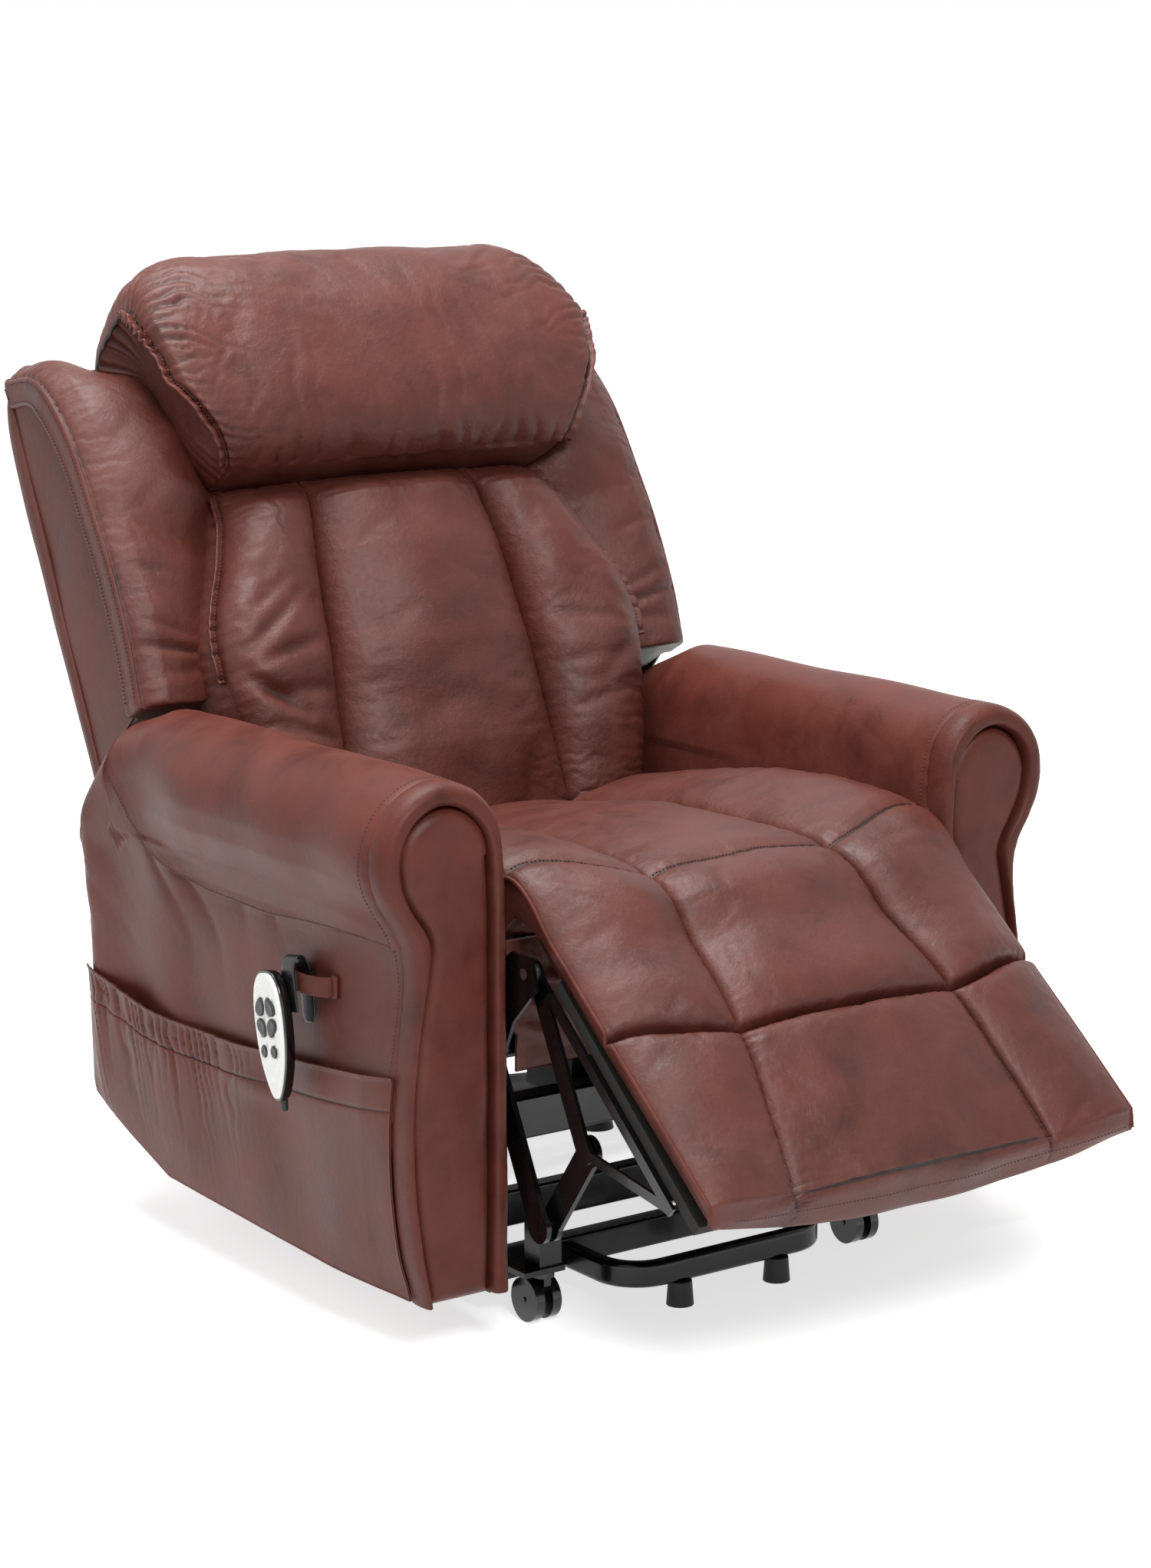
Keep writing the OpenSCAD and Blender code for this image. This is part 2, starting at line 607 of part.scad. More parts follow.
// Leg rest shapes are drawn with [along, under] and turned to the leg rest's slope
module leg2d() translate(leg_h) rotate(180 + leg_drop) children();
rod_at = [rod_along, rod_under];
board_at = 30;
board_low = board_t - pad_base;
strip_end = leg_len - 50;
crown_in = 33;
crown_half = pad_half - crown_in;
module leg_brackets() color("#17171a") place() both_sides() {
  side_plate(leg_plate_x, leg_plate_x + leg_plate_t) leg2d() difference() {
    union() {
      bar2d([0, 0], rod_at, bar_w);
      bar2d(rod_at, [strip_end - 8, 0], 12);
      translate([0, board_low]) square([strip_end, 12]);
    }
    circle(r = pin_r + fit);
  }
  cross_rod(rod_b, pin_r - 2, leg_rod_x - 1, leg_plate_x);
  side_plate(leg_plate_x - 30, leg_plate_x) leg2d()
    translate([rod_along - 60, board_low + gap]) square([strip_end - rod_along + 50, 4]);
}
module leg_board() color("#b98a5a") place() side_plate(-pad_half, pad_half) leg2d()
  translate([board_at, gap - pad_base]) square([leg_len - 18 - board_at, board_t - gap]);
// Quarter turn of padding that rolls over the hinge
module knee2d(r) intersection() {
  circle(r = r);
  polygon([[0, -pad_base / 2], [0, -2 * r], [-2 * r, -2 * r], [-pad_base, -pad_base]]);
}
seam_rest = pad_crown - seam_d;
// Trough along the leg rest between two distances from its hinge, x from the middle at the far one
module leg_trough(x, near, far, turn)
  trough(x, leg_pt(far, -seam_rest), leg_pt(near, -seam_rest), turn, 24, seam_d + 1);
module calf_pad() color("#6b3b37") place() difference() {
  union() {
    side_plate(-pad_half, pad_half) leg2d() {
      knee2d(pad_edge);
      translate([-1, -pad_edge]) square([calf_len - 1, pad_edge - pad_base]);
    }
    side_plate(-crown_half, crown_half) leg2d() {
      knee2d(pad_crown);
      translate([-1, -pad_crown]) square([calf_len - crown_in / 2, pad_crown - pad_edge + 1]);
    }
  }
  both_sides() leg_trough(seat_seam_x + 18, -40, calf_len, 6);
}
module foot_pad() color("#6b3b37") place() difference() {
  union() {
    side_plate(-pad_half, pad_half) leg2d() translate([calf_len, -pad_edge])
      rounded2d([leg_len - calf_len, pad_edge - pad_base], end_r);
    side_plate(-crown_half, crown_half) leg2d() translate([calf_len + crown_in / 2, -pad_crown])
      rounded2d([leg_len - calf_len - crown_in, pad_crown - pad_base - 2], end_r);
  }
  both_sides() leg_trough(seat_seam_x + 50, calf_len - 1, leg_len + 1, 7);
}

// ---- back ----
module back_plate(x0, x1) on_back() side_plate(x0, x1) children();
post_d0 = 60;
post_d1 = shell_d - gap;
module back_brackets() color("#17171a") place() both_sides() back_plate(bracket_x0, bracket_x1)
  difference() {
    union() {
      circle(r = 22);
      bar2d([0, 0], [post_d0 + 16, 40], 44);
      translate([post_d0, 20]) square([34, 200]);
    }
    circle(r = pin_r + fit);
  }
module back_lever() color("#17171a") place() {
  cross_rod(back_p, tube_r, -bracket_x0, bracket_x0);
  lever(back_p, back_q, -act_x);
}
module back_posts() color("#b98a5a") place() both_sides()
  back_plate(bracket_x0 - post_t - gap, bracket_x0 - gap)
    translate([post_d0, 0]) square([post_d1 - post_d0, shell_top - 40]);
module back_rails() color("#b98a5a") place() for (h = [20, wing_low + 20, shell_top - 90])
  back_plate(-bracket_x0 + post_t + gap, bracket_x0 - post_t - gap)
    translate([post_d0 + 6, h]) square([post_d1 - post_d0 - 12, 50]);
shell_low = -20;
skirt_low = wing_low - 73;   // the outside back reaches down behind the arms
module back_shell() color("#6b3b37") place() {
  back_plate(-back_half + 8, back_half - 8) polygon([[shell_d, skirt_low], [shell_rear - 10, skirt_low],
    [shell_rear, 480], [shell_rear, 640], shell_corner, [shell_d + 4, shell_top],
    [shell_d, shell_top]]);
  back_plate(-inner_half, inner_half) polygon([[shell_d, shell_low], [shell_rear - 12, shell_low],
    [shell_rear - 8, wing_low], [shell_d, wing_low]]);
}
wing_front = [[-wing_reach, wing_low], [-60, 350], [-60, 435], [-52, 501], [-38, 598], [-1, 677],
  [50, 712], [post_d1, shell_top]];
// A wing's lower edge follows the rear slope of the arm under it
wing_foot = [[post_d1, skirt_low], [50, wing_low - 36], [0, wing_low - 16]];
cushion_rear = post_d0 - gap;
notch_fit = 3;           // between a wing's inner pad and the cushions beside it
module wing() {
  back_plate(cushion_half + 2, back_half) polygon(concat(wing_front, wing_foot));
  // Inner pad that fills the notch between lumbar cushion and head pillow
  on_back() intersection() {
    front_plate(-wing_reach, cushion_rear) polygon([[cushion_half + 2, 362],
      [cushion_half - 18 + notch_fit, 440], [waist_half - 2, pillow_low - 2],
      [waist_half - 2, pillow_low + 12], [waist_half + 54, 601], [cushion_half + 2, 645]]);
    translate([0, 0, 300]) linear_extrude(400) polygon([[cushion_half + 3, 8 - wing_reach],
      [cushion_half + 3, cushion_rear], [waist_half - 3, cushion_rear], [waist_half - 3, 10]]);
  }
}
module wing_left() color("#6b3b37") place() mirror([1, 0, 0]) wing();
module wing_right() color("#6b3b37") place() wing();
lumbar_low = 112;
lumbar_top = pillow_low - 2;
lumbar_edge = [[inner_half - 3, lumbar_low], [inner_half - 3, wing_low], [cushion_half, wing_low],
  [cushion_half, 360], [cushion_half - 18, 440], [waist_half - 6, lumbar_top]];
lumbar_cheek = 26;       // how far the cushion's front edges fall back at its sides
module lumbar_cushion() color("#6b3b37") place() on_back() difference() {
  intersection() {
    side_plate(-cushion_half, cushion_half) polygon([[cushion_rear, lumbar_low],
      [38 - lumbar_reach, lumbar_low], [14 - lumbar_reach, 190], [-lumbar_reach, 300],
      [-lumbar_reach, 430], [10 - lumbar_reach, 495], [34 - lumbar_reach, lumbar_top],
      [cushion_rear, lumbar_top]]);
    front_plate(-lumbar_reach - 1, cushion_rear)
      polygon(concat(lumbar_edge, [for (i = [5 : -1 : 0]) [-lumbar_edge[i][0], lumbar_edge[i][1]]]));
  }
  both_sides() {
    // sewn channels, which spread a little towards the seat
    translate([lumbar_seam_x, lumbar_seam_d - lumbar_reach, lumbar_top + 1]) rotate([183, -5.5, 0])
      linear_extrude(lumbar_top - lumbar_low + 20)
        polygon([[0, 0], [30, lumbar_seam_d + 20], [-30, lumbar_seam_d + 20]]);
    translate([0, 0, lumbar_low - 1]) linear_extrude(lumbar_top - lumbar_low + 2)
      polygon([[waist_half - 6, -lumbar_reach - 1], [cushion_half + 1, lumbar_cheek - lumbar_reach],
        [cushion_half + 1, -lumbar_reach - 1]]);
  }
}
// Rounds of the pillow's outline: [depth, height, radius, half width]
low_round = 42;
mid_round = 62;
top_round = 52;
rear_round = 30;
base_round = 20;
pillow_rounds = [
  [low_round + 8 - pillow_reach, pillow_low + low_round, low_round, waist_half],
  [mid_round - pillow_reach, pillow_low + 2 * mid_round - 4, mid_round, cushion_half - 4],
  [top_round + 40 - pillow_reach, pillow_top - top_round, top_round, cushion_half - 10],
  [cushion_rear - rear_round, pillow_top - 3 * rear_round, rear_round, cushion_half - 10],
  [cushion_rear - base_round, pillow_low + base_round, base_round, waist_half - 8]
];
module head_pillow() color("#6b3b37") place() on_back() hull()
  for (p = pillow_rounds, side = [-1, 1])
    translate([side * (p[3] - p[2]), p[0], p[1]]) sphere(r = p[2], $fn = 32);

// ---- actuators ----
// An actuator lies along its own first axis with its tail eye at the origin
module along(p, q, x) place() translate([x, p[0], p[1]])
  rotate([atan2(q[1] - p[1], q[0] - p[0]), 0, 0]) rotate([0, 0, 90]) children();
act_in = 100;
module motor(l) {
  tube_end = l - 90;
  difference() {
    union() {
      rotate([90, 0, 0]) translate([0, 0, -8]) cylinder(r = 13, h = 16);
      translate([0, -8, -13]) cube([24, 16, 26]);
      translate([20, -24, -24]) cube([84, 48, 62]);
      translate([34, 0, 58]) rotate([0, 90, 0]) cylinder(r = 22, h = 118);
      translate([34, -20, 34]) cube([66, 40, 20]);
      translate([100, 0, 0]) rotate([0, 90, 0]) cylinder(r = rod_r + act_wall, h = tube_end - 100);
    }
    rotate([90, 0, 0]) translate([0, 0, -20]) cylinder(r = 5 + fit, h = 40);
    translate([tube_end - act_in - 40, 0, 0]) rotate([0, 90, 0])
      cylinder(r = rod_r + fit, h = act_in + 41);
  }
}
module rod(l) {
  translate([l - 90 - act_in, 0, 0]) rotate([0, 90, 0]) cylinder(r = rod_r, h = act_in + 80);
  translate([l, 0, 0]) rotate([90, 0, 0]) translate([0, 0, -8]) cylinder(r = 14, h = 16);
  translate([l, 0, 0]) rotate([90, 0, 0]) translate([0, 0, -lever_gap - 7])
    cylinder(r = pin_r, h = 2 * lever_gap + 14);
}
module lift_motor() color("#2a2a2d") along(motor_m, lift_e, act_x) motor(norm(lift_e - motor_m));
module lift_rod() color("#c4c6ca") along(motor_m, lift_e, act_x) rod(norm(lift_e - motor_m));
module back_motor() color("#2a2a2d") along(motor_m, back_q, -act_x) motor(norm(back_q - motor_m));
module back_rod() color("#c4c6ca") along(motor_m, back_q, -act_x) rod(norm(back_q - motor_m));

base_rails();
base_front();
base_rear_tube();
base_feet();
caster_sockets();
base_pins();
front_arms();
front_arm_tube();
rear_arms();
rear_arm_tube();
chassis_plates();
chassis_tubes();
chassis_pins();
seat_side_rails();
seat_cross_rails();
seat_springs();
seat_cushion();
front_apron();
arm_left();
arm_right();
arm_border_left();
arm_border_right();
arm_panel_left();
arm_panel_right();
arm_glides();
side_pocket();
strap_loop();
leg_cranks();
leg_drive_tube();
leg_rods();
leg_brackets();
leg_board();
calf_pad();
foot_pad();
back_brackets();
back_lever();
back_posts();
back_rails();
back_shell();
wing_left();
wing_right();
lumbar_cushion();
head_pillow();
lift_motor();
lift_rod();
back_motor();
back_rod();
caster_fork_left();
caster_fork_right();
caster_wheels_left();
caster_wheels_right();
handset_shell();
handset_face();
handset_clip();
button_back_up();
button_back_down();
button_leg_up();
button_leg_down();
button_lift();
button_lower();
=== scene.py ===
# Lift recliner chair: the leather, stitching, handset and finishes that dress the steel and timber frame.
# Lengths in metres. Side-view points are (s, z): s runs rearwards from the arm fronts, z up from the floor.
import json
import math
import bpy
import numpy as np
from mathutils import Matrix, Vector

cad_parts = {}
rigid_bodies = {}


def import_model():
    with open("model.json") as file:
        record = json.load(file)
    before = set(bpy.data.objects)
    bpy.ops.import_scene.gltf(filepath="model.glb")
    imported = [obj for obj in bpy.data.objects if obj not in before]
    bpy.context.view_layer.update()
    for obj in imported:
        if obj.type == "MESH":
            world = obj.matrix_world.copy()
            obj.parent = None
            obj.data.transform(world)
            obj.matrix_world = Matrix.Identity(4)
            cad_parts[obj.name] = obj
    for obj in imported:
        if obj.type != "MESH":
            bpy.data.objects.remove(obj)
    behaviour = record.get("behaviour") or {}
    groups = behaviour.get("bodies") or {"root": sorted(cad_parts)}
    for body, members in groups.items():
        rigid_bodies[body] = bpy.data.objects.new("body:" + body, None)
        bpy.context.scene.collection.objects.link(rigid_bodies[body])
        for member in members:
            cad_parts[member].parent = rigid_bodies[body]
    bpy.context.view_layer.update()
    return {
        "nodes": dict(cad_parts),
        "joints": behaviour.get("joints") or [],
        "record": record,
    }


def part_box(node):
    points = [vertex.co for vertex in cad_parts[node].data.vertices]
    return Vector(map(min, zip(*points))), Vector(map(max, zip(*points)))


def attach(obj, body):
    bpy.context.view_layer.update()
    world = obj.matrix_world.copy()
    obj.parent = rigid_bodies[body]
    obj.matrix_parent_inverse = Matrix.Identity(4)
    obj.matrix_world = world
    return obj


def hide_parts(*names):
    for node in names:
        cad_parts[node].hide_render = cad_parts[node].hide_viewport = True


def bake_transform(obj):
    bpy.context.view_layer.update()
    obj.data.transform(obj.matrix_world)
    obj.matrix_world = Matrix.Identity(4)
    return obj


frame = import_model()
nodes = frame["nodes"]
joints = {j["name"]: j for j in frame["joints"]}
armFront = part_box("arm_border_left")[0].y
backPivot = joints["back_recline"]["pos_m"]
legPivot = joints["leg_rest"]["pos_m"]
lean = math.radians(24.7)
slope = math.radians(40.6)
print("frame loaded:", len(nodes), "nodes")


# places in the chair's own side view, back and leg rest
def onChair(x, s, z):  # point from the side view's s and z
    x, s, z = np.broadcast_arrays(x, s, z)
    return np.stack([x, armFront + s, z], -1).astype(float)


def onBack(x, v, w):  # v behind the back's pivot, w up along the back, both turned by the lean
    x, v, w = np.broadcast_arrays(x, v, w)
    y = backPivot[1] + v * math.cos(lean) + w * math.sin(lean)
    z = backPivot[2] - v * math.sin(lean) + w * math.cos(lean)
    return np.stack([x, y, z], -1).astype(float)


def legSide(a, u):  # a along the leg rest, u under it -> (s, z)
    s = legPivot[1] - armFront - a * math.cos(slope) + u * math.sin(slope)
    z = legPivot[2] - a * math.sin(slope) - u * math.cos(slope)
    return s, z


# ways to ripple, gather and follow a surface
def clamp(t):  # t held between 0 and 1
    return np.clip(t, 0, 1)


def bell(x, middle, width):  # 1 at the middle, falling off on both sides over the width
    return np.exp(-((x - middle) / width) ** 2)


def follow(table, x):  # value at x on straight lines between a table's points
    return np.interp(x, *np.array(table).T)


def ease(t):  # 0 to 1 with level ends
    t = clamp(t)
    return t * t * (3 - 2 * t)


# smooth field, about -1 to 1: cosines of random heading and length added up
def waves(a, b, size, seed, count=13):
    rng = np.random.default_rng(seed)
    total = 0.0
    for _ in range(count):
        turn = rng.uniform(0, 2 * np.pi)
        length = size * rng.uniform(0.7, 1.7)
        phase = rng.uniform(0, 2 * np.pi)
        total = total + np.cos((a * np.cos(turn) + b * np.sin(turn)) * 2 * np.pi / length + phase)
    return total / math.sqrt(count / 2) / 1.7


# folds square to a seam: sharp troughs of uneven pitch that die out with distance
def gather(along, away, pitch, reach, seed):
    bend = (0.9 * waves(along, away * 0.5, 5 * pitch, seed)
            + 0.35 * waves(along, away, 2.2 * pitch, seed + 1))
    fold = np.abs(np.sin(np.pi * along / pitch + 2.2 * bend)) ** 0.65 - 0.62
    length = reach * (0.65 + 0.55 * waves(along, along * 0, 2.6 * pitch, seed + 2))
    return fold * np.exp(-np.clip(away, 0, None) / np.clip(length, reach * 0.25, None))


# 1 on the line from start to end, 0 beyond width, softened at its tips
def crease(x, y, start, end, width):
    d = np.array(end, float) - np.array(start, float)
    t = clamp(((x - start[0]) * d[0] + (y - start[1]) * d[1]) / (d @ d))
    gap = np.hypot(x - start[0] - t * d[0], y - start[1] - t * d[1])
    return bell(gap, 0, width) * np.sin(np.pi * np.clip(t, 0.08, 0.92)) ** 0.6


# cubic through points by chord length (Catmull-Rom)
def curveThrough(points, count=None, at=None, closed=False):
    p = np.array(points, float)
    if closed:
        p = np.concatenate([p[-2:], p, p[:3]])
    else:
        p = np.concatenate([2 * p[:1] - p[1:2], p, 2 * p[-1:] - p[-2:-1]])
    n = len(p) - (5 if closed else 3)
    t = np.linspace(0, n, count, endpoint=not closed) if at is None else np.asarray(at, float)
    k = np.clip(np.floor(t).astype(int), 0, n - 1)
    f = (t - k)[..., None]
    o = k + (1 if closed else 0)
    a, b, c, d = p[o], p[o + 1], p[o + 2], p[o + 3]
    return 0.5 * (2 * b + (c - a) * f + (2 * a - 5 * b + 4 * c - d) * f ** 2
                  + (3 * b - a - 3 * c + d) * f ** 3)


def smoothly(table, x):  # value at x on a smooth curve through a table's points
    keys = np.array(table)[:, 0]
    return curveThrough(table, at=np.interp(x, keys, np.arange(len(keys))))[..., 1]


def evenly(points, count):  # the same curve with points an equal distance apart
    step = np.r_[0, np.cumsum(np.linalg.norm(np.diff(points, axis=0), axis=1))]
    at = np.linspace(0, step[-1], count)
    return np.stack([np.interp(at, step, points[:, i]) for i in range(points.shape[1])], -1)


def packed(edges, counts):  # stations from edge to edge that crowd towards each edge, where the seams are
    out = [np.array([edges[0]])]
    for a, b, n in zip(edges[:-1], edges[1:], counts):
        k = np.linspace(0, 1, n + 1)[1:]
        out.append(a + (b - a) * (0.16 * k + 0.84 * (1 - np.cos(np.pi * k)) / 2))
    return np.concatenate(out)


def unit(v):  # same direction, length 1
    return v / np.maximum(np.linalg.norm(v, axis=-1, keepdims=True), 1e-12)


def gridNormals(grid, wrapRows=False, wrapCols=False):  # cross product of the grid's two directions
    def slopeOf(axis, wrap):  # difference between the neighbours on both sides
        if wrap:
            return np.roll(grid, -1, axis) - np.roll(grid, 1, axis)
        return np.gradient(grid, axis=axis)
    return unit(np.cross(slopeOf(0, wrapRows), slopeOf(1, wrapCols)))


def onGrid(grid, i, j):  # point at fractional row i and column j
    i, j = np.broadcast_arrays(np.asarray(i, float), np.asarray(j, float))
    a = np.clip(np.floor(i).astype(int), 0, grid.shape[0] - 2)
    b = np.clip(np.floor(j).astype(int), 0, grid.shape[1] - 2)
    f, g = (i - a)[..., None], (j - b)[..., None]
    return ((grid[a, b] * (1 - f) + grid[a + 1, b] * f) * (1 - g)
            + (grid[a, b + 1] * (1 - f) + grid[a + 1, b + 1] * f) * g)


# grids of points made into closed meshes
def gridQuads(rows, cols, wrapRows=False, wrapCols=False, start=0):  # corner numbers of each cell of a grid
    i = np.arange(rows if wrapRows else rows - 1)[:, None]
    j = np.arange(cols if wrapCols else cols - 1)[None, :]
    a, b = (i + 1) % rows, (j + 1) % cols
    return (start + np.stack([i * cols + j, a * cols + j, a * cols + b, i * cols + b], -1)).reshape(-1, 4)


# four-cornered faces; a repeated corner makes a triangle
def addMesh(name, verts, faces, material, body=None, smooth=True):
    tris = np.concatenate([faces[:, :3], faces[:, [0, 2, 3]]])
    p, q, r = verts[tris[:, 0]], verts[tris[:, 1]], verts[tris[:, 2]]
    volume = np.einsum("ij,ij->i", p, np.cross(q, r)).sum()
    if volume < 0:  # a closed mesh whose volume comes out negative is inside out
        faces = faces[:, ::-1]
    mesh = bpy.data.meshes.new(name)
    mesh.from_pydata(verts.tolist(), [], [list(dict.fromkeys(f)) for f in faces.tolist()])
    mesh.validate()
    mesh.polygons.foreach_set("use_smooth", np.full(len(mesh.polygons), smooth))
    obj = bpy.data.objects.new(name, mesh)
    bpy.context.scene.collection.objects.link(obj)
    obj.data.materials.append(material)
    if body:
        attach(obj, body)
    return obj


def tubeFaces(rows, cols):  # rings of points, each closed, with a fan over either end
    quads = gridQuads(rows, cols, wrapCols=True)
    j = np.arange(cols)
    k = (j + 1) % cols
    first, last = rows * cols, rows * cols + 1
    low = np.stack([k, np.full(cols, first), np.full(cols, first), j], -1)
    high = np.stack([(rows - 1) * cols + j, np.full(cols, last), np.full(cols, last),
                     (rows - 1) * cols + k], -1)
    return np.concatenate([quads, low, high])


# rings in order along the piece, closed at both ends
def addTube(name, rings, material, body=None, smooth=True):
    rows, cols = rings.shape[:2]
    verts = np.concatenate([rings.reshape(-1, 3), rings[0].mean(0)[None], rings[-1].mean(0)[None]])
    return addMesh(name, verts, tubeFaces(rows, cols), material, body, smooth)


# a grid and its copy moved along the normals, joined round the rim
def addSheet(name, grid, thick, material, body=None):
    n = gridNormals(grid)
    rows, cols = grid.shape[:2]
    both = np.concatenate([grid.reshape(-1, 3), (grid - thick * n).reshape(-1, 3)])
    size = rows * cols
    front = gridQuads(rows, cols)
    back = front[:, ::-1] + size
    rim = np.concatenate([np.arange(cols), np.arange(1, rows) * cols + cols - 1,
                          (rows - 1) * cols + np.arange(cols - 2, -1, -1),
                          np.arange(rows - 2, 0, -1) * cols])
    nxt = np.roll(rim, -1)
    side = np.stack([nxt, rim, rim + size, nxt + size], -1)
    return addMesh(name, both, np.concatenate([front, back, side]), material, body)


# profile (across, out) carried along the path; out follows up, or the bend's own frame
def sweep(path, profile, up=None):
    t = unit(np.gradient(path, axis=0))
    if up is None:
        up = np.tile([0.0, 0.0, 1.0], (len(path), 1))
    side = unit(np.cross(t, up))
    out = np.cross(side, t)
    return path[:, None] + side[:, None] * profile[None, :, :1] + out[:, None] * profile[None, :, 1:2]


def roundProfile(a, b, count=12, power=2.0):  # oval of half widths a and b, squarer as power grows
    k = np.linspace(0, 2 * np.pi, count, endpoint=False)
    c, s = np.cos(k), np.sin(k)
    return np.stack([a * np.sign(c) * np.abs(c) ** (2 / power),
                     b * np.sign(s) * np.abs(s) ** (2 / power)], -1)


stitchRows = {}


# one thread per pitch: a slim eight-faced lozenge
def stitch(body, path, out, pitch=0.0046, length=0.0033, width=0.0017):
    step = np.r_[0, np.cumsum(np.linalg.norm(np.diff(path, axis=0), axis=1))]
    count = max(int(step[-1] / pitch), 2)
    at = (np.arange(count) + 0.5) * step[-1] / count
    mid = np.stack([np.interp(at, step, path[:, i]) for i in range(3)], -1)
    n = unit(np.stack([np.interp(at, step, out[:, i]) for i in range(3)], -1))
    t = unit(np.stack([np.interp(at + 1e-3, step, path[:, i]) for i in range(3)], -1) - mid)
    b = np.cross(n, t)
    mid = mid + 0.0002 * n
    six = np.stack([mid + t * length / 2, mid - t * length / 2, mid + b * width / 2, mid - b * width / 2,
                    mid + n * width * 0.5, mid - n * width * 0.5], 1)
    stitchRows.setdefault(body, []).append(six.reshape(-1, 3))


def addStitches(name, body, material):  # all threads that ride on one body, as one mesh
    verts = np.concatenate(stitchRows.pop(body))
    one = np.array([[0, 2, 4], [2, 1, 4], [1, 3, 4], [3, 0, 4], [2, 0, 5], [1, 2, 5], [3, 1, 5], [0, 3, 5]])
    faces = (np.arange(len(verts) // 6)[:, None, None] * 6 + one[None]).reshape(-1, 3)
    faces = np.concatenate([faces, faces[:, 2:]], 1)
    return addMesh(name, verts, faces, material, None if body == "chaise" else body, smooth=False)


# finishes
def colour(hexText):  # sRGB hex to linear
    c = np.array([int(hexText[i:i + 2], 16) for i in (1, 3, 5)]) / 255
    lin = np.where(c <= 0.04045, c / 12.92, ((c + 0.055) / 1.055) ** 2.4)
    return (*lin.tolist(), 1.0)


# one node with its settings (properties or sockets) and its links in
def addNode(tree, kind, settings=None, links=None):
    node = tree.nodes.new(kind)
    for key, value in (settings or {}).items():
        if isinstance(key, str) and hasattr(node, key) and key not in node.inputs:
            setattr(node, key, value)
        else:
            node.inputs[key].default_value = value
    for key, source in (links or {}).items():
        tree.links.new(source, node.inputs[key])
    return node


def newMaterial(name, settings):  # a Principled shader with its settings, and the object's own coordinates
    material = bpy.data.materials.new(name)
    material.use_nodes = True
    tree = material.node_tree
    shader = tree.nodes["Principled BSDF"]
    for key, value in settings.items():
        shader.inputs[key].default_value = value
    place = addNode(tree, "ShaderNodeTexCoord").outputs["Object"]
    return material, tree, shader, place


def ramp(tree, source, stops):  # colour or grey at each stop, blended between
    node = addNode(tree, "ShaderNodeValToRGB", None, {"Fac": source})
    while len(node.color_ramp.elements) < len(stops):
        node.color_ramp.elements.new(0.5)
    for element, (at, value) in zip(node.color_ramp.elements, stops):
        element.position = at
        element.color = value if isinstance(value, tuple) else (value, value, value, 1)
    return node.outputs["Color"]


# Pull-up upholstery leather, drum dyed and hand rubbed: cloudy oxblood and chestnut patches under a
# soft wax gloss
hide = {"dark": "#43201b", "mid": "#532b24", "warm": "#5f2f27", "pale": "#5e362e", "rough": 0.44,
        "grain": 0.0014}


